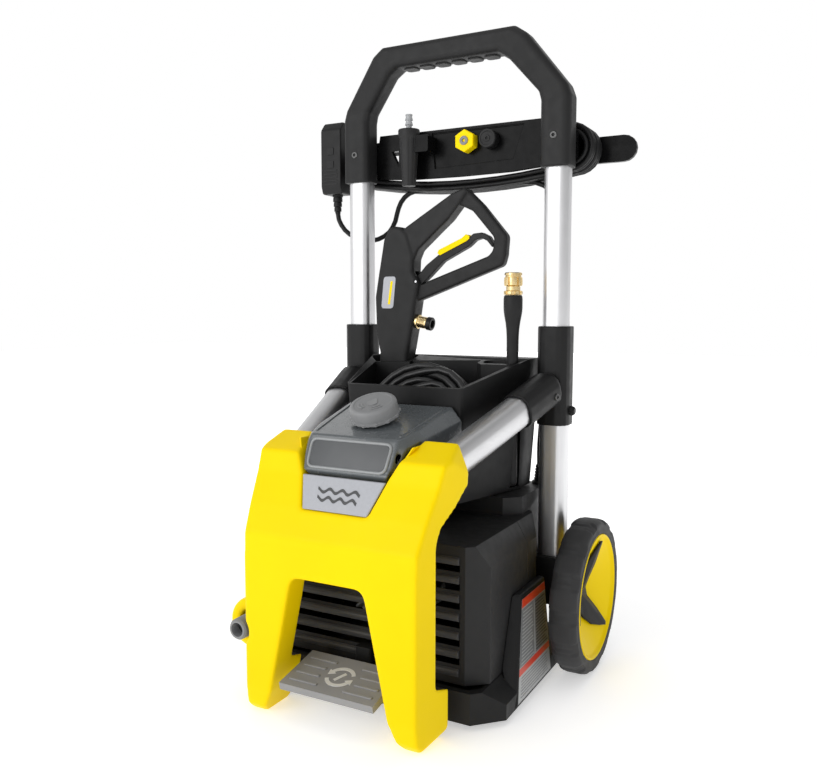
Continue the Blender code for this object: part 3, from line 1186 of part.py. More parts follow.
def make_plug():
    """Safety plug with its ribbed strain relief and three blades."""
    x, y, z = PLUG
    width, depth, height = PLUG_SIZE
    side = [(y - depth / 2 + 0.004, z - height / 2), (y + depth / 2 - 0.006, z - height / 2),
            (y + depth / 2, z - height / 2 + 0.020), (y + depth / 2, z + height / 2 - 0.014),
            (y + depth / 2 - 0.012, z + height / 2), (y - depth / 2 + 0.010, z + height / 2),
            (y - depth / 2, z + height / 2 - 0.012), (y - depth / 2, z - height / 2 + 0.012)]
    plug = soften(prism("safety_plug", side, "X", x - width / 2, x + width / 2, "black_plastic"),
                  0.0030, 2)
    relief = []
    for i in range(4):
        top = z - height / 2 + 0.002 - i * 0.0075
        radius = 0.0085 - i * 0.0009
        relief += [(radius, top), (radius, top - 0.0045), (radius - 0.0016, top - 0.0052)]
    low = z - height / 2 - 0.028
    combine(plug, turned("plug_relief", [(0, z - height / 2 + 0.004), (0.0085, z - height / 2 + 0.004),
                                         *relief, (0.0046, low), (0, low)],
                         (x, y, 0), (0, 0, 1), "black_plastic", 16), "UNION")
    for blade_x, blade_z in ((-0.0065, 0.026), (0.0065, 0.026), (0.0, 0.012)):
        blade = rounded_rect(0.0016 if blade_x else 0.0048, 0.0065 if blade_x else 0.0048,
                             0.0007, (x + blade_x, z + blade_z), 1)
        combine(plug, prism(f"plug_blade_{blade_x}", blade, "Y", y + depth / 2 - 0.002,
                            y + depth / 2 + 0.016, "brass"), "UNION")


# ------------------------------------------------------------------ assembly
def main():
    """Clear the scene and build the whole machine."""
    for obj in list(bpy.data.objects):
        bpy.data.objects.remove(obj, do_unlink=True)
    empty = bpy.data.objects.new("machine_origin", None)
    empty.location = (0, ORIGIN_SHIFT, 0)
    bpy.context.scene.collection.objects.link(empty)
    ROOT.append(empty)
    make_uprights()
    make_connectors()
    make_handle()
    make_cord_bracket()
    make_nozzles()
    make_front_cover()
    make_inlet()
    make_name_plate()
    make_tank()
    make_front_housing()
    make_rear_housing()
    make_base()
    make_pedal()
    make_bin()
    make_gun()
    make_trigger()
    make_lance()
    make_wheels()
    make_drive()
    make_outlet()
    make_hose()
    make_power_cord()
    make_plug()


main()
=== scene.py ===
"""Upright electric pressure washer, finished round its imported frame.

Every class below is one sub-assembly: its fields are sizes in metres and its methods build
and dress its pieces.  Sizes across the machine are measured from its middle plane, heights
from the floor, and depths from the front plane of the two uprights, as the maker does.
"""
from __future__ import annotations

import json
import logging
import math
from dataclasses import dataclass
from enum import Enum
from typing import Callable, Iterable, Optional, Sequence, Union

import bmesh
import bpy
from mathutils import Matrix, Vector

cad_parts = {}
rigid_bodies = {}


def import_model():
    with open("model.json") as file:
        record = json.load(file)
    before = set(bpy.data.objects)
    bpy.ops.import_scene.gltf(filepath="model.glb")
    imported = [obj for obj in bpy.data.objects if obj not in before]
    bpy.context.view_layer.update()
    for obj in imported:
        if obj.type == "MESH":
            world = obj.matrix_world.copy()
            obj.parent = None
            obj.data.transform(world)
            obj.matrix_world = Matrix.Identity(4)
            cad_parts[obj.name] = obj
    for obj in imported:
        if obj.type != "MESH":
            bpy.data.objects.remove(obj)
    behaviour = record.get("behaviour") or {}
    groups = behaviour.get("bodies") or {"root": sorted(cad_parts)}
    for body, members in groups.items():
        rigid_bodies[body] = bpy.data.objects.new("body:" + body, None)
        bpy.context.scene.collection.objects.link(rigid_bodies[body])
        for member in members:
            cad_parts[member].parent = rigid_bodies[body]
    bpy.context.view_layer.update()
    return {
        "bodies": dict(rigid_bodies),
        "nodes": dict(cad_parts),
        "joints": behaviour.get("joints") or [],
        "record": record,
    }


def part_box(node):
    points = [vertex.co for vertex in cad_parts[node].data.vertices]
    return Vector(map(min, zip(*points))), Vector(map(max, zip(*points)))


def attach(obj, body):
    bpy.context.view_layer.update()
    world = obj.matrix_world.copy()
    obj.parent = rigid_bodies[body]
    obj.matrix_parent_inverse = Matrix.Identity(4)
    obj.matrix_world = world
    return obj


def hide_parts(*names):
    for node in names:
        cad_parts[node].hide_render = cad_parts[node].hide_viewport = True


LOG = logging.getLogger("pressure_washer")
UPRIGHT_PLANE = 0.1077          # where the uprights' front plane stands along the frame's Y
Point = Union[Vector, Sequence[float]]
Colour = tuple[float, float, float]


def at(x: float, y: float, z: float) -> Vector:
    """Turn a point measured from the uprights' front plane into the frame's own axes."""
    return Vector((x, y + UPRIGHT_PLANE, z))


class Side(Enum):
    """The two sides of the machine, as seen from its front."""

    LEFT = -1
    RIGHT = 1

    @property
    def word(self) -> str:
        """The side as the ending of a piece's name."""
        return self.name.lower()


class Grain(Enum):
    """The direction in which a metal was drawn or brushed."""

    ALONG_X = (0.012, 1.0, 1.0)
    ALONG_Y = (1.0, 0.012, 1.0)
    ALONG_Z = (1.0, 1.0, 0.012)
    NONE = (1.0, 1.0, 1.0)


# ---------------------------------------------------------------------------- finishes
class Graph:
    """The nodes of one material, added and joined by short calls."""

    COLOUR_INPUTS = (6, 7)        # a mix node's two colours among its inputs
    COLOUR_OUTPUT = 2

    def __init__(self, name: str) -> None:
        """Start a material with its standard shader.

        Args:
            name: what the finish is called.
        """
        self.material = bpy.data.materials.new(name)
        self.material.use_nodes = True
        self.tree = self.material.node_tree
        self.shader = self.tree.nodes["Principled BSDF"]
        self.place = self.tree.nodes.new("ShaderNodeTexCoord").outputs["Object"]

    def noise(self, size: float, detail: float = 2.0,
              stretch: Optional[Sequence[float]] = None) -> bpy.types.NodeSocket:
        """Soft random pattern with features of one size.

        Args:
            size: width of a feature in metres.
            detail: how many finer layers lie on it.
            stretch: scale of the pattern along each axis, for drawn metal.

        Returns:
            The pattern's value, about 0.5 on average.
        """
        node = self.tree.nodes.new("ShaderNodeTexNoise")
        node.inputs["Scale"].default_value = 1.0 / size
        node.inputs["Detail"].default_value = detail
        source = self.place
        if stretch is not None:
            mapping = self.tree.nodes.new("ShaderNodeMapping")
            mapping.inputs["Scale"].default_value = stretch
            self.tree.links.new(self.place, mapping.inputs["Vector"])
            source = mapping.outputs["Vector"]
        self.tree.links.new(source, node.inputs["Vector"])
        return node.outputs["Fac"]

    def spread(self, value: bpy.types.NodeSocket, low: float, high: float,
               start: float = 0.3, stop: float = 0.7) -> bpy.types.NodeSocket:
        """Map a value from one range to another, held at both ends.

        Args:
            value: what is mapped.
            low: the result at the start of the range.
            high: the result at its end.
            start: where the range starts.
            stop: where it ends.

        Returns:
            The mapped value.
        """
        node = self.tree.nodes.new("ShaderNodeMapRange")
        node.inputs["From Min"].default_value = start
        node.inputs["From Max"].default_value = stop
        node.inputs["To Min"].default_value = low
        node.inputs["To Max"].default_value = high
        self.tree.links.new(value, node.inputs["Value"])
        return node.outputs["Result"]

    def blend(self, share: bpy.types.NodeSocket, first: Union[Colour, bpy.types.NodeSocket],
              second: Union[Colour, bpy.types.NodeSocket]) -> bpy.types.NodeSocket:
        """Mix two colours.

        Args:
            share: how much of the second colour there is, from 0 to 1.
            first: a colour, or a socket that gives one.
            second: the other colour.

        Returns:
            The mixed colour.
        """
        node = self.tree.nodes.new("ShaderNodeMix")
        node.data_type = "RGBA"
        self.tree.links.new(share, node.inputs["Factor"])
        for index, colour in zip(self.COLOUR_INPUTS, (first, second)):
            socket = node.inputs[index]
            if isinstance(colour, tuple):
                socket.default_value = (*colour, 1.0)
            else:
                self.tree.links.new(colour, socket)
        return node.outputs[self.COLOUR_OUTPUT]

    def edges(self) -> bpy.types.NodeSocket:
        """How far a spot stands out as an edge or corner, about 0.5 where it is flat."""
        return self.tree.nodes.new("ShaderNodeNewGeometry").outputs["Pointiness"]

    def relief(self, height: bpy.types.NodeSocket, strength: float, depth: float,
               under: Optional[bpy.types.NodeSocket] = None) -> bpy.types.NodeSocket:
        """Fine surface relief from a pattern.

        Args:
            height: the pattern.
            strength: how strongly it shows.
            depth: how high it stands, in metres.
            under: another relief that it lies on, if there is one.

        Returns:
            The direction that the surface faces.
        """
        node = self.tree.nodes.new("ShaderNodeBump")
        node.inputs["Strength"].default_value = strength
        node.inputs["Distance"].default_value = depth
        self.tree.links.new(height, node.inputs["Height"])
        if under is not None:
            self.tree.links.new(under, node.inputs["Normal"])
        return node.outputs["Normal"]

    def wire(self, value: bpy.types.NodeSocket, name: str) -> None:
        """Feed a value into one of the shader's sockets."""
        self.tree.links.new(value, self.shader.inputs[name])

    def fix(self, **values: float) -> None:
        """Set shader sockets that are the same all over; underscores stand for spaces."""
        for name, value in values.items():
            self.shader.inputs[name.replace("_", " ")].default_value = value


DUST = (0.20, 0.19, 0.175)
RUBBED_EDGE = (0.53, 0.66)        # how far an edge stands out where rubbing starts and is full
DUSTY_HOLLOW = (0.40, 0.50)


def tinted(colour: Colour, factor: float) -> Colour:
    """A colour made lighter or darker by a factor."""
    return tuple(min(1.0, channel * factor) for channel in colour)


@dataclass(frozen=True)
class Moulding:
    """Moulded plastic or rubber: fine grain, faint tone changes, rubbed edges."""

    name: str
    colour: Colour
    gloss: float = 0.42           # roughness in the middle of its range
    grain: float = 0.0007         # width of one grain
    grain_depth: float = 0.00003
    tone: float = 0.05            # how far the colour wanders
    rub: float = 0.35             # how much lighter its edges are
    coat: float = 0.0
    dust: float = 0.0             # share of pale dust in its hollows
    shine: float = 0.22           # how much it mirrors its surroundings

    def build(self) -> bpy.types.Material:
        """Make the material.

        Returns:
            A material with grain, tone and worn edges from nodes.
        """
        graph = Graph(self.name)
        wander = graph.spread(graph.noise(0.07, 3.0), 0.0, 1.0)
        colour = graph.blend(wander, tinted(self.colour, 1 - self.tone),
                             tinted(self.colour, 1 + self.tone))
        rubbed = graph.spread(graph.edges(), 0.0, 1.0, *RUBBED_EDGE)
        colour = graph.blend(rubbed, colour, tinted(self.colour, 1 + self.rub))
        if self.dust:
            hollow = graph.spread(graph.edges(), self.dust, 0.0, *DUSTY_HOLLOW)
            colour = graph.blend(hollow, colour, DUST)
        graph.wire(colour, "Base Color")
        graph.wire(graph.spread(graph.noise(0.012, 3.0), self.gloss - 0.05, self.gloss + 0.07),
                   "Roughness")
        fine = graph.relief(graph.noise(self.grain, 1.0), 0.35, self.grain_depth)
        graph.wire(graph.relief(graph.noise(0.018, 1.0), 0.12, 0.00025, fine), "Normal")
        graph.fix(Specular_IOR_Level=self.shine)
        if self.coat:
            graph.fix(Coat_Weight=self.coat, Coat_Roughness=0.12)
        return graph.material


@dataclass(frozen=True)
class Metal:
    """Bare metal: drawn or turned lines, slight tarnish, brighter edges."""

    name: str
    colour: Colour
    gloss: float = 0.3
    direction: Grain = Grain.NONE
    tarnish: float = 0.12

    def build(self) -> bpy.types.Material:
        """Make the material.

        Returns:
            A metallic material whose lines follow its direction.
        """
        graph = Graph(self.name)
        graph.fix(Metallic=1.0)
        stain = graph.spread(graph.noise(0.03, 4.0), 0.0, 1.0, 0.35, 0.75)
        colour = graph.blend(stain, self.colour, tinted(self.colour, 1 - self.tarnish))
        bright = graph.spread(graph.edges(), 0.0, 0.8, 0.54, 0.70)
        graph.wire(graph.blend(bright, colour, tinted(self.colour, 1.12)), "Base Color")
        lines = graph.noise(0.0011, 2.0, self.direction.value)
        graph.wire(graph.spread(lines, self.gloss - 0.06, self.gloss + 0.10), "Roughness")
        graph.wire(graph.relief(lines, 0.10, 0.00002), "Normal")
        return graph.material


@dataclass(frozen=True)
class Print:
    """Printed film or paint: even colour with a faint mottle and a soft gloss."""

    name: str
    colour: Colour
    gloss: float = 0.32

    def build(self) -> bpy.types.Material:
        """Make the material.

        Returns:
            A smooth printed surface.
        """
        graph = Graph(self.name)
        mottle = graph.spread(graph.noise(0.004, 2.0), 0.0, 1.0)
        graph.wire(graph.blend(mottle, tinted(self.colour, 0.97), tinted(self.colour, 1.03)),
                   "Base Color")
        graph.wire(graph.spread(graph.noise(0.02, 2.0), self.gloss - 0.04, self.gloss + 0.06),
                   "Roughness")
        graph.wire(graph.relief(graph.noise(0.0005, 1.0), 0.15, 0.00001), "Normal")
        return graph.material


Finish = Union[Moulding, Metal, Print]

YELLOW = Moulding("yellow_shell", (0.95, 0.69, 0.0), 0.40, 0.0009, 0.00002, 0.02, 0.04,
                  shine=0.08)
BLACK = Moulding("black_frame_plastic", (0.0085, 0.0085, 0.0088), 0.42, rub=0.9)
GLOSS = Moulding("rack_plastic", (0.0030, 0.0030, 0.0032), 0.28, rub=0.8, shine=0.09)
GRIP = Moulding("grip_plastic", (0.0140, 0.0140, 0.0143), 0.48, 0.0008, 0.00005, rub=0.9)
HOUSING = Moulding("housing_plastic", (0.0200, 0.0200, 0.0204), 0.46, rub=0.9)
LOUVRE = Moulding("louvre_plastic", (0.0500, 0.0500, 0.0510), 0.44, rub=0.5, shine=0.35)
TRAY = Moulding("base_plastic", (0.0105, 0.0105, 0.0108), 0.50, rub=0.7, dust=0.08)
GREY = Moulding("pedal_plastic", (0.270, 0.270, 0.275), 0.45, 0.0009, 0.00005, rub=0.35)
CAP_GREY = Moulding("cap_plastic", (0.225, 0.228, 0.232), 0.42, rub=0.25)
TANK = Moulding("tank_plastic", (0.088, 0.098, 0.104), 0.24, 0.0014, 0.00001, 0.06, 0.04, 0.4,
                shine=0.45)
# The tank's window rim is the tank's own smoky plastic. Its lighter grey is a painted highlight along
# the rim, while its coat and shine give real reflections.
RIM_PAINTED_HIGHLIGHT = Moulding("tank_rim", (0.235, 0.245, 0.250), 0.20, tone=0.04, rub=0.3, coat=0.5, shine=0.5)
PANE = Moulding("tank_window", (0.066, 0.070, 0.074), 0.20, 0.0020, 0.00001, 0.10, 0.2, 0.4)
CLEAR = Moulding("pale_barb", (0.36, 0.37, 0.38), 0.22, tone=0.03, rub=0.3, coat=0.4)
TYRE = Moulding("tyre_rubber", (0.036, 0.036, 0.037), 0.58, 0.0012, 0.00008, rub=0.7, dust=0.15)
SHEATH = Moulding("sheath_rubber", (0.0070, 0.0070, 0.0074), 0.38, 0.0010, 0.00002, rub=0.4)
HOSE = Moulding("hose_rubber", (0.0090, 0.0090, 0.0094), 0.32, 0.0010, 0.00003, rub=0.4,
                shine=0.4)
ALUMINIUM = Metal("tube_aluminium", (0.62, 0.62, 0.63), 0.36, Grain.ALONG_Z, 0.06)
ALUMINIUM_SLOPED = Metal("sloped_tube_aluminium", (0.62, 0.62, 0.63), 0.36, Grain.ALONG_Y, 0.06)
CASTING = Metal("pump_casting", (0.60, 0.60, 0.61), 0.45, Grain.NONE, 0.2)
STEEL = Metal("zinc_steel", (0.55, 0.55, 0.57), 0.30, Grain.ALONG_X, 0.15)
DARK_STEEL = Metal("black_screw", (0.10, 0.10, 0.10), 0.38, Grain.NONE, 0.2)
BRASS = Metal("turned_brass", (0.83, 0.64, 0.33), 0.24, Grain.NONE, 0.18)
SILVER = Print("silver_plate", (0.40, 0.41, 0.44), 0.34)
LABEL_PALE = Print("label_pale", (0.40, 0.41, 0.41))
LABEL_GREY = Print("label_grey", (0.17, 0.175, 0.18))
LABEL_DARK = Print("label_dark", (0.025, 0.027, 0.03))
LABEL_RED = Print("label_red", (0.62, 0.045, 0.015))
WHITE = Print("white_mark", (0.72, 0.72, 0.71))
SLATE = Print("slate_mark", (0.045, 0.047, 0.05))


# ---------------------------------------------------------------------------- shapes
def arc(centre: Sequence[float], radius: float, start: float, stop: float,
        steps: int) -> list[tuple[float, float]]:
    """Points along a circular arc.

    Args:
        centre: middle of the arc.
        radius: its radius.
        start: first angle in degrees.
        stop: last angle in degrees.
        steps: how many stretches it has.

    Returns:
        Both ends and the points between them.
    """
    points = []
    for step in range(steps + 1):
        angle = math.radians(start + (stop - start) * step / steps)
        points.append((centre[0] + radius * math.cos(angle), centre[1] + radius * math.sin(angle)))
    return points


def rounded(width: float, depth: float, radius: float, steps: int = 8) -> list[tuple[float, float]]:
    """Outline of a rectangle with round corners, about its own middle.

    Args:
        width: its size across.
        depth: its size along.
        radius: radius of its corners.
        steps: stretches in each corner.

    Returns:
        The outline's points.
    """
    across = width / 2 - radius
    along = depth / 2 - radius
    outline = []
    for sx, sy, start in ((1, 1, 0), (-1, 1, 90), (-1, -1, 180), (1, -1, 270)):
        outline += arc((sx * across, sy * along), radius, start, start + 90, steps)
    return outline


def skin(rings: Sequence[Sequence[Point]], loop: bool = False) -> bmesh.types.BMesh:
    """Join rings of equal length into one closed skin.

    Args:
        rings: the sections, in order.
        loop: whether the last section joins the first; otherwise both ends are capped.

    Returns:
        The skin as a mesh.
    """
    mesh = bmesh.new()
    loops = [[mesh.verts.new(point) for point in ring] for ring in rings]
    count = len(loops[0])
    pairs = list(zip(loops, loops[1:]))
    if loop:
        pairs.append((loops[-1], loops[0]))
    for low, high in pairs:
        for i in range(count):
            j = (i + 1) % count
            mesh.faces.new((low[i], low[j], high[j], high[i]))
    if not loop:
        mesh.faces.new(loops[0][::-1])
        mesh.faces.new(loops[-1])
    return mesh


def slab(outline: Sequence[Point], depth: Point) -> bmesh.types.BMesh:
    """A flat plate: an outline in space, thickened by a vector."""
    step = Vector(depth)
    return skin([[Vector(point) for point in outline], [Vector(point) + step for point in outline]])


def lathe(profile: Sequence[Sequence[float]], centre: Point, direction: Point, steps: int = 64,
          loop: bool = False, shape: Optional[Callable[[int, float], float]] = None,
          turn_first: float = 0.0) -> bmesh.types.BMesh:
    """Turn a profile about an axis.

    Args:
        profile: pairs of radius and place along the axis.
        centre: a point on the axis, from which places are measured.
        direction: the way of the axis.
        steps: facets round it.
        loop: whether the profile closes on itself, as a ring's does.
        shape: optional change of radius, from the profile's index and the turn's share.
        turn_first: degrees that the first facet is turned by.

    Returns:
        The turned mesh.
    """
    turn = Vector((0, 0, 1)).rotation_difference(Vector(direction)).to_matrix()
    middle = Vector(centre)
    mesh = bmesh.new()
    loops = []
    for index, (radius, height) in enumerate(profile):
        if radius < 1e-6:
            loops.append([mesh.verts.new(middle + turn @ Vector((0, 0, height)))])
            continue
        ring = []
        for step in range(steps):
            share = step / steps
            reach = radius if shape is None else radius + shape(index, share)
            angle = 2 * math.pi * share + math.radians(turn_first)
            spot = Vector((reach * math.cos(angle), reach * math.sin(angle), height))
            ring.append(mesh.verts.new(middle + turn @ spot))
        loops.append(ring)
    pairs = list(zip(loops, loops[1:]))
    if loop:
        pairs.append((loops[-1], loops[0]))
    for low, high in pairs:
        for i in range(steps):
            j = (i + 1) % steps
            corners = [low[i % len(low)], low[j % len(low)], high[j % len(high)], high[i % len(high)]]
            corners = list(dict.fromkeys(corners))
            if len(corners) > 2:
                mesh.faces.new(corners)
    if not loop:
        for ring in (loops[0], loops[-1]):
            if len(ring) > 1:
                mesh.faces.new(ring)
    return mesh


def together(meshes: Iterable[bmesh.types.BMesh]) -> bmesh.types.BMesh:
    """Put several meshes into one.

    Args:
        meshes: the meshes, which are used up.

    Returns:
        One mesh that holds all of them.
    """
    whole = bmesh.new()
    for mesh in meshes:
        part = bpy.data.meshes.new("part")
        bmesh.ops.recalc_face_normals(mesh, faces=mesh.faces)
        mesh.to_mesh(part)
        mesh.free()
        whole.from_mesh(part)
        bpy.data.meshes.remove(part)
    return whole


def smooth_route(points: Sequence[Point], spacing: float) -> list[Vector]:
    """Points read at even steps from a smooth curve.

    Args:
        points: where the curve passes.
        spacing: distance between the points that come back.

    Returns:
        The route, with both of its ends.
    """
    spots = [Vector(point) for point in points]
    spots = [2 * spots[0] - spots[1]] + spots + [2 * spots[-1] - spots[-2]]
    fine = []
    for p0, p1, p2, p3 in zip(spots, spots[1:], spots[2:], spots[3:]):
        for step in range(24):
            t = step / 24
            fine.append(0.5 * (2 * p1 + (p2 - p0) * t + (2 * p0 - 5 * p1 + 4 * p2 - p3) * t ** 2
                               + (3 * p1 - p0 - 3 * p2 + p3) * t ** 3))
    fine.append(spots[-2])
    total = sum((b - a).length for a, b in zip(fine, fine[1:]))
    count = max(3, round(total / spacing))
    route = [fine[0]]
    travelled = 0.0
    for a, b in zip(fine, fine[1:]):
        travelled += (b - a).length
        if travelled >= total * len(route) / count and len(route) < count:
            route.append(b)
    route.append(fine[-1])
    return route


# ---------------------------------------------------------------------------- workshop
class Workshop:
    """Makes finished pieces and puts each on the body that it moves with."""

    WELD = 0.00001                # points closer than this are one
    FLAT = math.radians(0.8)      # faces that turn less than this are one

    def __init__(self, frame: dict) -> None:
        """Read the frame's bodies.

        Args:
            frame: what the frame's loader gave.
        """
        self.nodes: dict[str, bpy.types.Object] = frame["nodes"]
        bodies = frame["record"]["behaviour"]["bodies"]
        self.owner = {node: body for body, nodes in bodies.items() for node in nodes}
        self.made: dict[Finish, bpy.types.Material] = {}

    def paint(self, finish: Finish) -> bpy.types.Material:
        """Find the material of a finish, or make it the first time.

        Args:
            finish: the surface that is wanted.

        Returns:
            Its material.
        """
        if finish not in self.made:
            self.made[finish] = finish.build()
        return self.made[finish]

    def piece(self, name: str, mesh: bmesh.types.BMesh, finish: Finish, body: str = "machine",
              bevel: float = 0.0, segments: int = 3, angle: float = 34.0) -> bpy.types.Object:
        """Turn a mesh into a piece on a body.

        Args:
            name: the piece's name.
            mesh: its shape, in the frame's axes.
            finish: its surface.
            body: the body that it rides on.
            bevel: radius of its rounded edges, or 0 for none.
            segments: facets of those edges.
            angle: edges sharper than this, in degrees, stay crisp or are rounded.

        Returns:
            The new object.
        """
        bmesh.ops.recalc_face_normals(mesh, faces=mesh.faces)
        data = bpy.data.meshes.new(name)
        mesh.to_mesh(data)
        mesh.free()
        data.shade_smooth()
        if not bevel:
            data.set_sharp_from_angle(angle=math.radians(angle))
        data.materials.append(self.paint(finish))
        obj = bpy.data.objects.new(name, data)
        bpy.context.scene.collection.objects.link(obj)
        if bevel:
            edge = obj.modifiers.new("rounded_edges", "BEVEL")
            edge.width = bevel
            edge.segments = segments
            edge.limit_method = "ANGLE"
            edge.angle_limit = math.radians(angle)
            edge.harden_normals = True
            weigh = obj.modifiers.new("flat_faces", "WEIGHTED_NORMAL")
            weigh.keep_sharp = True
        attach(obj, body)
        return obj

    def shape_of(self, node: str) -> bmesh.types.BMesh:
        """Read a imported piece's mesh, with its points joined and its flat faces made whole.

        Args:
            node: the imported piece.

        Returns:
            A copy of its mesh.
        """
        mesh = bmesh.new()
        mesh.from_mesh(self.nodes[node].data)
        bmesh.ops.remove_doubles(mesh, verts=mesh.verts, dist=self.WELD)
        bmesh.ops.dissolve_limit(mesh, angle_limit=self.FLAT, verts=mesh.verts, edges=mesh.edges)
        return mesh

    def stand_in(self, name: str, node: str, mesh: bmesh.types.BMesh, finish: Finish,
                 angle: float = 34.0) -> bpy.types.Object:
        """Turn a mesh into a piece that takes a packed one's place, on the same body.

        Args:
            name: the new piece's name.
            node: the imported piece.
            mesh: the new shape, in the frame's axes.
            finish: its surface.
            angle: edges sharper than this, in degrees, stay crisp.

        Returns:
            The new object.
        """
        obj = self.piece(name, mesh, finish, self.owner[node], angle=angle)
        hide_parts(node)
        return obj

    def crisp(self, node: str, finish: Finish, bevel: float = 0.001, segments: int = 3,
              angle: float = 34.0) -> bpy.types.Object:
        """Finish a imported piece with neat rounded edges, in place of its plain one.

        Args:
            node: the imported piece.
            finish: its surface.
            bevel: radius of its edges.
            segments: facets of those edges.
            angle: edges sharper than this, in degrees, are rounded.

        Returns:
            The new object.
        """
        obj = self.piece(f"{node}_finished", self.shape_of(node), finish, self.owner[node],
                         bevel, segments, angle)
        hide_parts(node)
        return obj

    def moulded(self, node: str, finish: Finish, voxel: float = 0.0015,
                rounds: int = 6) -> bpy.types.Object:
        """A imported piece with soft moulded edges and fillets, in place of its plain one.

        Args:
            node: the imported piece.
            finish: its surface.
            voxel: size of the grid that its skin is drawn on again.
            rounds: how often the skin is relaxed, which sets the edges' radius.

        Returns:
            The new object.
        """
        mesh = self.shape_of(node)
        bmesh.ops.triangulate(mesh, faces=mesh.faces)
        obj = self.piece(f"{node}_moulded", mesh, finish, self.owner[node])
        remesh = obj.modifiers.new("skin", "REMESH")
        remesh.mode = "VOXEL"
        remesh.voxel_size = voxel
        remesh.use_smooth_shade = True
        relax = obj.modifiers.new("relax", "SMOOTH")
        relax.factor = 0.5
        relax.iterations = rounds
        bpy.context.view_layer.update()
        ready = obj.evaluated_get(bpy.context.evaluated_depsgraph_get())
        data = bpy.data.meshes.new_from_object(ready)
        obj.modifiers.clear()
        obj.data = data
        if not data.materials:
            data.materials.append(self.paint(finish))
        data.shade_smooth()
        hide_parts(node)
        return obj

    def dress(self, nodes: Iterable[str], finish: Finish) -> None:
        """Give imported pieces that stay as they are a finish.

        Args:
            nodes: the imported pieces.
            finish: their surface.
        """
        for node in nodes:
            for slot in self.nodes[node].material_slots:
                slot.material = self.paint(finish)

    def screw(self, name: str, centre: Point, direction: Point, radius: float = 0.0042,
              body: str = "machine", finish: Finish = DARK_STEEL) -> bpy.types.Object:
        """Make a round screw head with a six-sided recess.

        Args:
            name: the screw's name.
            centre: where it sits on the surface.
            direction: the way that its head faces.
            radius: radius of the head.
            body: the body that it rides on.
            finish: its surface.

        Returns:
            The new object.
        """
        def socket(index: int, share: float) -> float:
            """Pull the recess's rim in between its six corners."""
            return radius * 0.06 * math.cos(share * 12 * math.pi) if index >= 3 else 0.0

        profile = [(radius, -0.0008), (radius, 0.0008), (radius * 0.86, 0.0016),
                   (radius * 0.46, 0.0016), (radius * 0.42, 0.0002), (0.0, 0.0002)]
        mesh = lathe(profile, centre, direction, 36, shape=socket)
        return self.piece(name, mesh, finish, body)

    def tube(self, name: str, route: Sequence[Vector], radius: float, finish: Finish,
             body: str = "machine") -> bpy.types.Object:
        """Lay a round cord or hose along a route, as one open line.

        Args:
            name: its name.
            route: the points that it passes.
            radius: its radius.
            finish: its surface.
            body: the body that it rides on.

        Returns:
            The new object.
        """
        curve = bpy.data.curves.new(name, "CURVE")
        curve.dimensions = "3D"
        curve.bevel_depth = radius
        curve.bevel_resolution = 4
        curve.use_fill_caps = True
        line = curve.splines.new("POLY")
        line.points.add(len(route) - 1)
        for point, spot in zip(line.points, route):
            point.co = (*spot, 1.0)
        curve.materials.append(self.paint(finish))
        obj = bpy.data.objects.new(name, curve)
        bpy.context.scene.collection.objects.link(obj)
        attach(obj, body)
        return obj


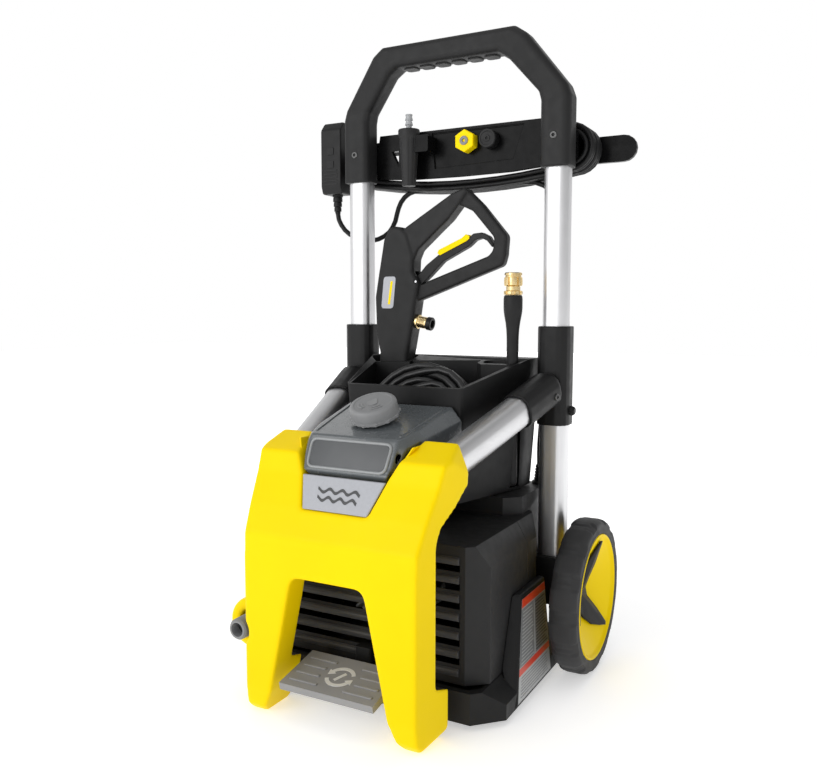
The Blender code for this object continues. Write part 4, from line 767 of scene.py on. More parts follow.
# ---------------------------------------------------------------------------- trolley
@dataclass
class Trolley:
    """Aluminium tubes, their moulded connectors and the handle."""

    shop: Workshop
    corner: float = 0.011
    wall: float = 0.0015
    bolt: tuple[float, float, float] = (0.1777, 0.018, 0.351)
    socket_screw: tuple[float, float, float] = (0.1722, -0.0230, 0.3730)
    handle_screw: tuple[float, float, float] = (0.1545, -0.0018, 0.718)
    screw_radius: float = 0.0050
    pads: int = 6
    pad_pitch: float = 0.0250
    pad_length: float = 0.0200
    pad_corner: float = 0.0060
    pad_drop: float = 0.0022
    grip_middle: float = 0.0085   # depth of the grip's middle
    grip_under: float = 0.8335    # just inside the grip's underside

    def build(self) -> None:
        """Make every piece of the trolley."""
        for side in Side:
            self.tubes(side)
            self.connector(side)
        self.handle()

    def tubes(self, side: Side) -> None:
        """Make a side's two upright tubes and the sloping one in front of them.

        Args:
            side: the side that they are on.
        """
        for part in ("upper", "lower"):
            node = f"upright_{part}_{side.word}"
            low, high = (Vector(corner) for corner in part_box(node))
            middle = (low + high) / 2
            rings = []
            for inset, z in ((0, low.z), (0, high.z), (self.wall, high.z), (self.wall, low.z)):
                outline = rounded(high.x - low.x - 2 * inset, high.y - low.y - 2 * inset,
                                  self.corner - inset)
                rings.append([(middle.x + a, middle.y + b, z) for a, b in outline])
            self.shop.stand_in(f"{node}_tube", node, skin(rings, loop=True), ALUMINIUM)
        self.shop.crisp(f"diagonal_tube_{side.word}", ALUMINIUM_SLOPED, 0.0003, 1, 60.0)

    def connector(self, side: Side) -> None:
        """Make a side's moulded sleeve with its screw and its knurled bolt.

        Args:
            side: the side that it is on.
        """
        self.shop.moulded(f"tube_connector_{side.word}", BLACK, 0.0013, 5)
        x, y, z = self.socket_screw
        self.shop.screw(f"socket_screw_{side.word}", at(side.value * x, y, z),
                        (side.value * 0.97, -0.24, 0), self.screw_radius)
        x, y, z = self.bolt
        profile = [(0.0, 0.0003), (0.0062, 0.0003), (0.0062, 0.0034), (0.0056, 0.0044),
                   (0.0050, 0.0062), (0.0042, 0.0068), (0.0, 0.0066)]

        def knurl(index: int, share: float) -> float:
            """Grooves along the bolt's rim."""
            return 0.00035 * math.cos(share * 32 * math.pi) if 1 <= index <= 3 else 0.0

        bolt = lathe(profile, at(side.value * x, y, z), (side.value, 0, 0), 96, shape=knurl)
        self.shop.stand_in(f"sleeve_bolt_{side.word}", f"frame_bolt_{side.word}", bolt, BLACK)

    def handle(self) -> None:
        """Make the arch, its screws and the finger pads under its grip."""
        self.shop.moulded("handle", GRIP, 0.0016, 5)
        x, y, z = self.handle_screw
        for side in Side:
            self.shop.screw(f"handle_screw_{side.word}", at(side.value * x, y, z), (0, -1, 0),
                            self.screw_radius)
        outline = rounded(self.pad_length, self.pad_length, self.pad_corner, 5)
        pads = []
        for index in range(self.pads):
            middle = (index - (self.pads - 1) / 2) * self.pad_pitch
            spots = [at(middle + a, self.grip_middle + b, self.grip_under) for a, b in outline]
            pads.append(slab(spots, (0, 0, -self.pad_drop)))
        self.shop.piece("handle_grip_pads", together(pads), GRIP, bevel=0.0012)


# ---------------------------------------------------------------------------- cord rack
@dataclass
class CordRack:
    """Rear panel between the handle's legs, with the nozzles that it stores."""

    shop: Workshop
    nozzle_height: float = 0.728
    nozzle_face: float = 0.0220   # depth of the two quick nozzles' front
    fan_x: float = 0.0135
    fan_radius: float = 0.0160
    fan_flat: float = 0.0139      # from the six-sided head's middle to its flats
    jet_x: float = 0.049
    cone_x: float = -0.072
    cone_y: float = 0.016
    frame_y: float = 0.0393
    frame_half: float = 0.0010
    frame_rise: float = 0.0012

    def build(self) -> None:
        """Make the panel and dress its nozzles."""
        self.shop.crisp("cord_bracket", GLOSS, 0.0014)
        self.panel_lines()
        self.spray_nozzles()
        self.detergent_nozzle()

    def panel_lines(self) -> None:
        """Make a thin raised frame round the panel's recess."""
        corners = [(-0.040, 0.6945), (0.083, 0.6985), (0.0985, 0.7455), (-0.045, 0.7455)]
        bars = []
        for (ax, az), (bx, bz) in zip(corners, corners[1:] + corners[:1]):
            along = Vector((bx - ax, 0, bz - az)).normalized() * self.frame_half
            across = Vector((-along.z, 0, along.x))
            first, second = at(ax, self.frame_y, az), at(bx, self.frame_y, bz)
            outline = [first - along - across, second + along - across,
                       second + along + across, first - along + across]
            bars.append(slab(outline, (0, -self.frame_rise, 0)))
        self.shop.piece("rack_panel_frame", together(bars), GLOSS, bevel=0.0004, segments=2)

    def spray_nozzles(self) -> None:
        """Make the six-sided fan nozzle and the round jet nozzle, each with its tip."""
        fan = at(self.fan_x, self.nozzle_face, self.nozzle_height)
        jet = at(self.jet_x, self.nozzle_face, self.nozzle_height)
        forward = (0, 1, 0)

        def hexagon(index: int, share: float) -> float:
            """Flatten the nozzle's head on six sides, with a corner at the top.

            Args:
                index: the profile's point.
                share: share of the turn.

            Returns:
                The change of radius.
            """
            angle = (share * 6) % 1.0 - 0.5
            reach = self.fan_flat / math.cos(angle * math.pi / 3) - self.fan_radius
            return reach if 1 <= index <= 4 else 0.0

        head = [(0.0, 0.0002), (0.0148, 0.0002), (self.fan_radius, 0.0012),
                (self.fan_radius, 0.0158), (0.0150, 0.0168), (0.0060, 0.0168), (0.0060, 0.0210),
                (0.0, 0.0210)]
        self.shop.stand_in("fan_nozzle_head", "spray_nozzle_fan",
                           lathe(head, fan, forward, 72, shape=hexagon, turn_first=30.0), YELLOW)
        tip = [(0.0064, 0.0020), (0.0064, -0.0012), (0.0056, -0.0020), (0.0026, -0.0020),
               (0.0018, 0.0010), (0.0, 0.0010)]
        self.shop.piece("fan_nozzle_tip", lathe(tip, fan, forward, 48), CAP_GREY, "fan_nozzle")
        self.shop.crisp("spray_nozzle_jet", BLACK, 0.0008)
        ring = [(0.0128, 0.0040), (0.0128, 0.0006), (0.0118, -0.0008), (0.0100, -0.0008),
                (0.0092, 0.0004), (0.0050, 0.0004), (0.0042, -0.0010), (0.0022, -0.0010),
                (0.0016, 0.0008), (0.0, 0.0008)]
        self.shop.piece("jet_nozzle_face", lathe(ring, jet, forward, 64), GRIP, "jet_nozzle")

    def detergent_nozzle(self) -> None:
        """Make the fluted cone with its pale barb."""
        foot = at(self.cone_x, self.cone_y, 0)
        profile = [(0.0, 0.669), (0.0090, 0.669), (0.0099, 0.6700), (0.0110, 0.680),
                   (0.0146, 0.733), (0.0149, 0.736), (0.0157, 0.7385), (0.0159, 0.742),
                   (0.0159, 0.7485), (0.0152, 0.7500), (0.0, 0.7500)]

        def flutes(index: int, share: float) -> float:
            """Shallow flutes along the cone."""
            return -0.0005 * max(0.0, math.cos(share * 24 * math.pi)) if 3 <= index <= 5 else 0.0

        self.shop.stand_in("detergent_nozzle_cone", "detergent_nozzle",
                           lathe(profile, foot, (0, 0, 1), 96, shape=flutes), HOUSING)
        barb = [(0.0, 0.7490), (0.0042, 0.7490), (0.0042, 0.7555), (0.0059, 0.7565),
                (0.0046, 0.7615), (0.0046, 0.7625), (0.0059, 0.7635), (0.0046, 0.7685),
                (0.0046, 0.7695), (0.0055, 0.7703), (0.0050, 0.7718), (0.0026, 0.7718),
                (0.0024, 0.7600), (0.0, 0.7600)]
        self.shop.piece("detergent_nozzle_barb", lathe(barb, foot, (0, 0, 1), 48), CLEAR,
                        "detergent_nozzle")


# ---------------------------------------------------------------------------- front cover
@dataclass
class FrontCover:
    """Yellow shell, its blank plate and the water inlet."""

    shop: Workshop
    plate_low: tuple[float, float, float] = (0.0440, -0.2978, 0.2562)
    plate_high: tuple[float, float, float] = (0.0569, -0.2776, 0.2928)
    face_lean: float = 0.552      # how far the face goes back for each metre up
    notch_wall: float = 0.0022
    notch_front: float = 0.0045   # how far behind the face the notch's walls start
    notch_back: float = -0.2240
    wave_rows: tuple[float, float] = (0.60, 0.36)
    wave_half: float = 0.56       # share of the plate's half width
    wave_swing: float = 0.055
    wave_line: float = 0.045      # half the line's width, as a share of the plate's height
    inlet: tuple[float, float, float] = (-0.130, -0.3165, 0.0995)
    thread_radius: float = 0.0123
    thread_depth: float = 0.00075

    def build(self) -> None:
        """Make the shell and what is set in it."""
        self.shop.moulded("front_cover", YELLOW, 0.0015, 36)
        self.shop.crisp("name_plate", SILVER, 0.0008)
        self.notch_returns()
        self.plate_wave()
        self.water_inlet()

    def notch_returns(self) -> None:
        """Make the inner walls of the notch's upper half, going back beside the tank."""
        walls = []
        edge = [(0.0632, 0.2990), (0.0660, 0.3060), (0.0708, 0.3170), (0.0750, 0.3255),
                (0.0780, 0.3315)]
        for side in Side:
            rings = []
            for x, z in edge:
                front = (self.plate_high[1] + (z - self.plate_high[2]) * self.face_lean
                         + self.notch_front)
                ring = [(x, front), (x + self.notch_wall, front),
                        (x + self.notch_wall, self.notch_back), (x, self.notch_back)]
                rings.append([at(side.value * a, b, z) for a, b in ring])
            walls.append(skin(rings))
        self.shop.piece("cover_notch_returns", together(walls), YELLOW, bevel=0.0006, segments=2)

    def on_plate(self, across: float, up: float, lift: float) -> Vector:
        """Find a point on the plate.

        Args:
            across: share of its half width.
            up: share of its height.
            lift: distance from its face.

        Returns:
            The point, in the frame's axes.
        """
        low, high = Vector(self.plate_low), Vector(self.plate_high)
        spot = low.lerp(high, up)
        slope = Vector((0, high.y - low.y, high.z - low.z)).normalized()
        outward = Vector((0, -slope.z, slope.y))
        place = Vector((spot.x * across, spot.y, spot.z)) + outward * lift
        return at(*place)

    def plate_wave(self) -> None:
        """Make two plain wavy lines, as a generic mark for water."""
        thick = self.on_plate(0, 0.5, 0.0) - self.on_plate(0, 0.5, 0.0007)
        waves = []
        for row in self.wave_rows:
            section = []
            for step in range(49):
                across = self.wave_half * (step / 24 - 1)
                up = row + self.wave_swing * math.sin(across * 19)
                above = self.on_plate(across, up + self.wave_line, 0.0004)
                below = self.on_plate(across, up - self.wave_line, 0.0004)
                section.append([above, below, below + thick, above + thick])
            waves.append(skin(section))
        self.shop.piece("plate_wave", together(waves), SLATE)

    def water_inlet(self) -> None:
        """Make the threaded garden-hose nipple with its strainer."""
        mouth = at(*self.inlet)
        thread = []
        for step in range(40):
            radius = self.thread_radius + self.thread_depth * math.cos(step * math.pi / 2.5)
            thread.append((radius, 0.0028 + step * 0.0006))
        profile = [(0.0088, 0.0), (0.0110, 0.0), (0.0116, 0.0008), *thread, (0.0118, 0.0280),
                   (0.0118, 0.0300), (0.0130, 0.0306), (0.0130, 0.0340), (0.0118, 0.0346),
                   (0.0118, 0.0640), (0.0085, 0.0640), (0.0085, 0.0020)]
        self.shop.stand_in("inlet_nipple_thread", "inlet_nipple",
                           lathe(profile, mouth, (0, 1, 0), 72, loop=True), CAP_GREY)
        strainer = [(0.0, 0.0140), (0.0050, 0.0125), (0.0084, 0.0130), (0.0084, 0.0150),
                    (0.0, 0.0160)]
        self.shop.piece("inlet_strainer", lathe(strainer, mouth, (0, 1, 0), 48), SLATE)


# ---------------------------------------------------------------------------- detergent tank
@dataclass
class DetergentTank:
    """Smoky tank with its window and lugged cap."""

    shop: Workshop
    front_low: tuple[float, float] = (-0.2750, 0.2985)   # depth and height of the face's foot
    front_high: tuple[float, float] = (-0.2545, 0.3388)
    face_height: float = 0.045
    top_front: tuple[float, float] = (-0.266, 0.336)
    tilt: float = math.atan2(0.031, 0.128)
    window_corner: float = 0.0085
    rim_radius: float = 0.0019
    ridge_radius: float = 0.0015
    neck_lean: float = math.radians(9)
    neck_rise: float = 0.006
    cap_y: float = -0.200
    cap_top: float = 0.0188
    lugs: int = 12
    drop_radius: float = 0.0070
    mark_half: float = 0.0009
    mark_rise: float = 0.0011

    def build(self) -> None:
        """Make the tank, its window, its ridges and its cap."""
        self.shop.moulded("detergent_tank", TANK, 0.0012, 12)
        self.window()
        self.ridges()
        self.cap()

    def top(self, y: float) -> float:
        """Height of the tank's sloping top."""
        return self.top_front[1] + (y - self.top_front[0]) * math.tan(self.tilt)

    def on_front(self, x: float, up: float, lift: float) -> Vector:
        """Find a point on the tank's front face.

        Args:
            x: place across.
            up: share of the face's height.
            lift: distance from the face.

        Returns:
            The point, in the frame's axes.
        """
        low, high = Vector((0, *self.front_low)), Vector((0, *self.front_high))
        spot = low.lerp(high, up)
        slope = (high - low).normalized()
        outward = Vector((0, -slope.z, slope.y))
        place = Vector((x, spot.y, spot.z)) + outward * lift
        return at(*place)

    def window_outline(self) -> list[tuple[float, float]]:
        """Work out the window's outline with its round corners.

        Returns:
            Pairs of place across and share of the face's height.
        """
        corners = [(-0.0535, 0.09), (0.0535, 0.09), (0.0555, 0.87), (-0.0555, 0.87)]
        outline = []
        for index, corner in enumerate(corners):
            middle = Vector(corner)
            ends = []
            for other in (corners[index - 1], corners[(index + 1) % 4]):
                way = Vector(other) - middle
                length = math.hypot(way.x, way.y * self.face_height)
                ends.append(middle + way * (self.window_corner / length))
            for step in range(7):
                t = step / 6
                outline.append(tuple(ends[0] * (1 - t) ** 2 + middle * 2 * t * (1 - t)
                                     + ends[1] * t ** 2))
        return outline

    def window(self) -> None:
        """Make the raised rim round the front face, coloured lighter than the tank as a painted
        highlight, with a glossy pane inside it.
        """
        outline = self.window_outline()
        route = [self.on_front(x, up, 0.0004) for x, up in outline]
        outward = (self.on_front(0, 0.5, 0.001) - self.on_front(0, 0.5, 0)).normalized()
        section = arc((0, 0), self.rim_radius, 0, 330, 11)
        rings = []
        for index, spot in enumerate(route):
            way = (route[(index + 1) % len(route)] - route[index - 1]).normalized()
            inward = outward.cross(way).normalized()
            rings.append([spot + inward * a + outward * b * 0.9 for a, b in section])
        # the rim's lighter grey finish is a painted highlight
        self.shop.piece("tank_window_rim", skin(rings, loop=True), RIM_PAINTED_HIGHLIGHT)
        pane = [self.on_front(x * 0.965, 0.48 + (up - 0.48) * 0.93, 0.0001) for x, up in outline]
        self.shop.piece("tank_window_pane", slab(pane, outward * 0.0005), PANE, bevel=0.0002,
                        segments=1)

    def ridges(self) -> None:
        """Make the two rounded ridges along the tank's top."""
        section = arc((0, 0), self.ridge_radius, 0, 330, 11)
        ridges = []
        for side in Side:
            rings = []
            for x, y in ((0.0585, -0.2450), (0.0640, -0.1900), (0.0670, -0.1460)):
                middle = at(side.value * x, y, self.top(y) - 0.0002)
                rings.append([middle + Vector((a, 0, b)) for a, b in section])
            ridges.append(skin(rings))
        self.shop.piece("tank_ridges", together(ridges), TANK)

    def cap(self) -> None:
        """Make the screw cap: a soft-edged disc on a skirt with lugs, and its marks."""
        lean = self.tilt + self.neck_lean
        axis = Vector((0, -math.sin(lean), math.cos(lean)))
        middle = at(0, self.cap_y, self.top(self.cap_y)) + axis * self.neck_rise
        profile = [(0.0230, 0.0014), (0.0300, 0.0014), (0.0302, 0.0060), (0.0298, 0.0150),
                   (0.0294, 0.0172), (0.0284, 0.0187), (0.0268, 0.0195), (0.0240, 0.0195),
                   (0.0234, 0.0190), (0.0, 0.0190), (0.0, 0.0102), (0.0230, 0.0102)]
        disc = lathe(profile, middle, axis, 96, loop=True)

        def lobes(index: int, share: float) -> float:
            """Push the skirt's rim out at each lug."""
            wave = math.cos(share * 2 * math.pi * self.lugs)
            return 0.0016 * max(0.0, wave) ** 2 if index in (1, 2) else 0.0

        skirt = lathe([(0.0290, 0.0013), (0.0306, 0.0013), (0.0306, 0.0042), (0.0294, 0.0050)],
                      middle, axis, 192, loop=True, shape=lobes)
        self.shop.stand_in("tank_cap_disc", "tank_cap", together((disc, skirt)), CAP_GREY)
        self.cap_marks(middle + axis * self.cap_top, axis)

    def cap_marks(self, middle: Vector, axis: Vector) -> None:
        """Make the raised drop and the four arcs on the cap.

        Args:
            middle: the middle of the cap's top.
            axis: the way that the top faces.
        """
        across = Vector((1, 0, 0))
        along = axis.cross(across).normalized()
        drop = []
        for step in range(40):
            angle = 2 * math.pi * step / 40
            point = max(0.0, math.sin(angle))
            reach = self.drop_radius * (1 + 0.55 * point ** 5)
            squeeze = 1 - 0.35 * point ** 2
            drop.append(middle + across * reach * math.cos(angle) * squeeze
                        + along * (reach * math.sin(angle) - 0.001))
        marks = [slab(drop, axis * self.mark_rise)]
        for radius in (0.0135, 0.0180):
            for start in (200, 290):
                outer = arc((0, 0), radius + self.mark_half, start, start + 50, 14)
                inner = arc((0, 0), radius - self.mark_half, start + 50, start, 14)
                outline = [middle + across * a + along * b for a, b in outer + inner]
                marks.append(slab(outline, axis * self.mark_rise))
        self.shop.piece("tank_cap_marks", together(marks), CAP_GREY, "cap")


# ---------------------------------------------------------------------------- motor housing
@dataclass(frozen=True)
class Rules:
    """A block of printed rules with ragged ends; places are shares of the label's panel."""

    name: str
    finish: Print
    count: int
    low: float
    pitch: float
    thick: float
    left: float
    right: float
    ragged: float                 # how much shorter each rule is than the one below it
    cycle: int                    # after how many rules the lengths start again
    lift: float                   # distance from the panel in metres


LABEL_RULES = (
    Rules("label_rules", LABEL_DARK, 16, 0.365, 0.031, 0.012, 0.55, 0.92, 0.03, 3, 0.0005),
    Rules("label_fine_lines", LABEL_PALE, 15, 0.365, 0.033, 0.010, 0.08, 0.46, 0.02, 4, 0.0005),
    Rules("label_small_lines", LABEL_GREY, 7, 0.065, 0.028, 0.008, 0.10, 0.88, 0.02, 3, 0.0003))


@dataclass
class Housing:
    """Louvred motor housing, its base, side panels, label and drive."""

    shop: Workshop
    louvres: int = 6
    louvre_pitch: float = 0.0225
    first_louvre: float = 0.0720
    front: float = -0.220
    slot_half: float = 0.0055
    lip_half: float = 0.1235      # half the lips' length
    panel_low: tuple[float, float] = (0.1788, 0.0085)    # the right panel's foot, across and up
    panel_high: tuple[float, float] = (0.1665, 0.1350)
    panel_back: float = -0.044
    panel_front_low: float = -0.174
    panel_front_high: float = -0.130
    label_ends: tuple[float, float] = (0.035, 0.955)
    film: float = 0.00025
    rear_face: float = 0.0640
    rear_screw_x: float = 0.118
    rear_screw_z: tuple[float, float] = (0.060, 0.195)
    ribs: int = 9
    rib_pitch: float = 0.0115
    first_rib: float = 0.080
    rib_half: float = 0.085
    rib_height: float = 0.0045

    def build(self) -> None:
        """Make every piece of the housing."""
        self.shop.crisp("front_housing", HOUSING, 0.0016)
        self.shop.crisp("rear_housing", HOUSING, 0.0016)
        self.shop.crisp("base_tray", TRAY, 0.0014)
        self.shop.crisp("power_switch", BLACK, 0.0006, 2)
        self.louvre_lips()
        for side in Side:
            self.shop.crisp(f"side_panel_{side.word}", BLACK, 0.0026)
            self.shop.crisp(f"axle_bracket_{side.word}", BLACK, 0.0010)
        self.label()
        self.rear_screws()
        self.rear_ribs()
        self.shop.dress(("motor_can", "motor_rotor", "axle", "pedal_pin", "trigger_pin"), STEEL)
        self.shop.dress(("cooling_fan", "drive_gear", "switch_plunger"), GREY)
        self.shop.dress(("pump_head",), CASTING)

    def louvre_lips(self) -> None:
        """Make the raised sloping lips between the louvres, along the front."""
        lips = []
        for index in range(self.louvres + 1):
            top = self.first_louvre - self.slot_half + index * self.louvre_pitch
            low = top - (self.louvre_pitch - 2 * self.slot_half) + 0.0006
            section = [(0.0, top - 0.0003), (0.0034, top - 0.0022), (0.0040, top - 0.0045),
                       (0.0016, low + 0.0012), (0.0, low)]
            outline = [at(-self.lip_half, self.front - out + 0.0004, z) for out, z in section]
            lips.append(slab(outline, (2 * self.lip_half, 0, 0)))
        self.shop.piece("louvre_lips", together(lips), LOUVRE, bevel=0.0007, segments=3)

    def patch(self, left: float, low: float, right: float, high: float,
              lift: float) -> bmesh.types.BMesh:
        """Make a flat patch on the right panel.

        Args:
            left: where it starts, as a share of the panel's length.
            low: where it starts, as a share of the panel's height.
            right: where it ends along the length.
            high: where it ends up the height.
            lift: its distance from the panel.

        Returns:
            The patch's mesh.
        """
        foot_x, foot_z = self.panel_low
        head_x, head_z = self.panel_high
        foot = (at(foot_x, self.panel_front_low, foot_z), at(foot_x, self.panel_back, foot_z))
        head = (at(head_x, self.panel_front_high, head_z), at(head_x, self.panel_back, head_z))
        off = Vector((lift, 0, lift * 0.1))
        outline = [foot[0].lerp(foot[1], u).lerp(head[0].lerp(head[1], u), v) + off
                   for u, v in ((left, low), (right, low), (right, high), (left, high))]
        return slab(outline, (self.film, 0, 0))

    def label(self) -> None:
        """Make the plain instruction label: bands, fields and rules, no lettering."""
        start, stop = self.label_ends
        self.shop.piece("label_base", self.patch(start, start, stop, stop, 0.0001), LABEL_PALE)
        bands = [self.patch(start, 0.875, stop, stop, 0.0003),
                 self.patch(start, 0.270, stop, 0.335, 0.0003)]
        self.shop.piece("label_bands", together(bands), LABEL_RED)
        fields = [self.patch(0.52, 0.345, stop, 0.865, 0.0003),
                  self.patch(start, 0.345, 0.49, 0.865, 0.0003)]
        self.shop.piece("label_fields", together(fields), LABEL_GREY)
        for block in LABEL_RULES:
            strips = []
            for row in range(block.count):
                low = block.low + row * block.pitch
                right = block.right - block.ragged * (row % block.cycle)
                strips.append(self.patch(block.left, low, right, low + block.thick, block.lift))
            self.shop.piece(block.name, together(strips), block.finish)

    def rear_screws(self) -> None:
        """Put a screw in each corner of the back."""
        places = [(side.value * self.rear_screw_x, z) for z in self.rear_screw_z for side in Side]
        for index, (x, z) in enumerate(places):
            self.shop.screw(f"rear_screw_{index}", at(x, self.rear_face, z), (0, 1, 0), 0.0046)

    def rear_ribs(self) -> None:
        """Make the vent ribs on the back."""
        face = self.rear_face - 0.0005
        ribs = []
        for index in range(self.ribs):
            low = self.first_rib + index * self.rib_pitch
            high = low + self.rib_height
            outline = [at(-self.rib_half, face, low), at(self.rib_half, face, low),
                       at(self.rib_half, face, high), at(-self.rib_half, face, high)]
            ribs.append(slab(outline, (0, 0.0022, 0)))
        self.shop.piece("rear_vent_ribs", together(ribs), HOUSING, bevel=0.0008, segments=2)


@dataclass
class Pedal:
    """Foot pedal with its treads and a generic on-off mark."""

    shop: Workshop
    front: tuple[float, float] = (-0.320, 0.0490)
    back: tuple[float, float] = (-0.2505, 0.0630)
    treads: tuple[float, ...] = (0.012, 0.027, 0.042, 0.057)
    tread_half: float = 0.0022
    tread_near: float = 0.0245
    tread_near_at_ends: float = 0.0180
    tread_far: float = 0.0570
    tread_rise: float = 0.0020
    mark_middle: float = 0.0345
    mark_radii: tuple[float, float] = (0.0184, 0.0136)
    mark_sweep: float = 128.0
    slash_half: float = 0.0085

    def on_plate(self, x: float, along: float, lift: float) -> Vector:
        """Find a point on the pedal's top.

        Args:
            x: place across.
            along: distance from the front edge.
            lift: distance from the surface.

        Returns:
            The point, in the frame's axes.
        """
        start = Vector((0, *self.front))
        way = (Vector((0, *self.back)) - start).normalized()
        spot = start + way * along + Vector((0, -way.z, way.y)) * lift
        return at(x, spot.y, spot.z)

    def build(self) -> None:
        """Make the pedal, its treads and its mark."""
        self.shop.crisp("foot_pedal", GREY, 0.0013)
        rise = self.on_plate(0, 0, self.tread_rise) - self.on_plate(0, 0, 0)
        half = self.tread_half
        treads = []
        for along in self.treads:
            at_end = along in (self.treads[0], self.treads[-1])
            inner = self.tread_near_at_ends if at_end else self.tread_near
            for side in Side:
                near, far = side.value * inner, side.value * self.tread_far
                outline = [self.on_plate(x, along + step, -0.0004)
                           for x, step in ((near, -half), (far, -half), (far, half), (near, half))]
                treads.append(slab(outline, rise))
        self.shop.piece("pedal_treads", together(treads), GREY, "pedal", bevel=0.0009)
        self.mark()

    def mark(self) -> None:
        """Make two arrows round a slash, as on many foot switches."""
        rise = self.on_plate(0, 0, 0.0005) - self.on_plate(0, 0, 0)
        outlines = []
        far, near = self.mark_radii
        for start in (25, 205):
            stop = start + self.mark_sweep
            outlines.append(arc((0, 0), far, start, stop, 24) + arc((0, 0), near, stop, start, 24))
            angle = math.radians(stop)
            way = Vector((-math.sin(angle), math.cos(angle)))
            out = Vector((math.cos(angle), math.sin(angle)))
            foot = out * (far + near) / 2
            outlines.append([foot + out * 0.0058, foot + way * 0.0078, foot - out * 0.0058])
        lean = math.radians(62)
        way = Vector((math.cos(lean), math.sin(lean)))
        off = Vector((-way.y, way.x)) * 0.0021
        end = way * self.slash_half
        outlines.append([end + off, off - end, -end - off, end - off])
        parts = [slab([self.on_plate(a, self.mark_middle + b, 0.00005) for a, b in outline], rise)
                 for outline in outlines]
        self.shop.piece("pedal_mark", together(parts), WHITE, "pedal")


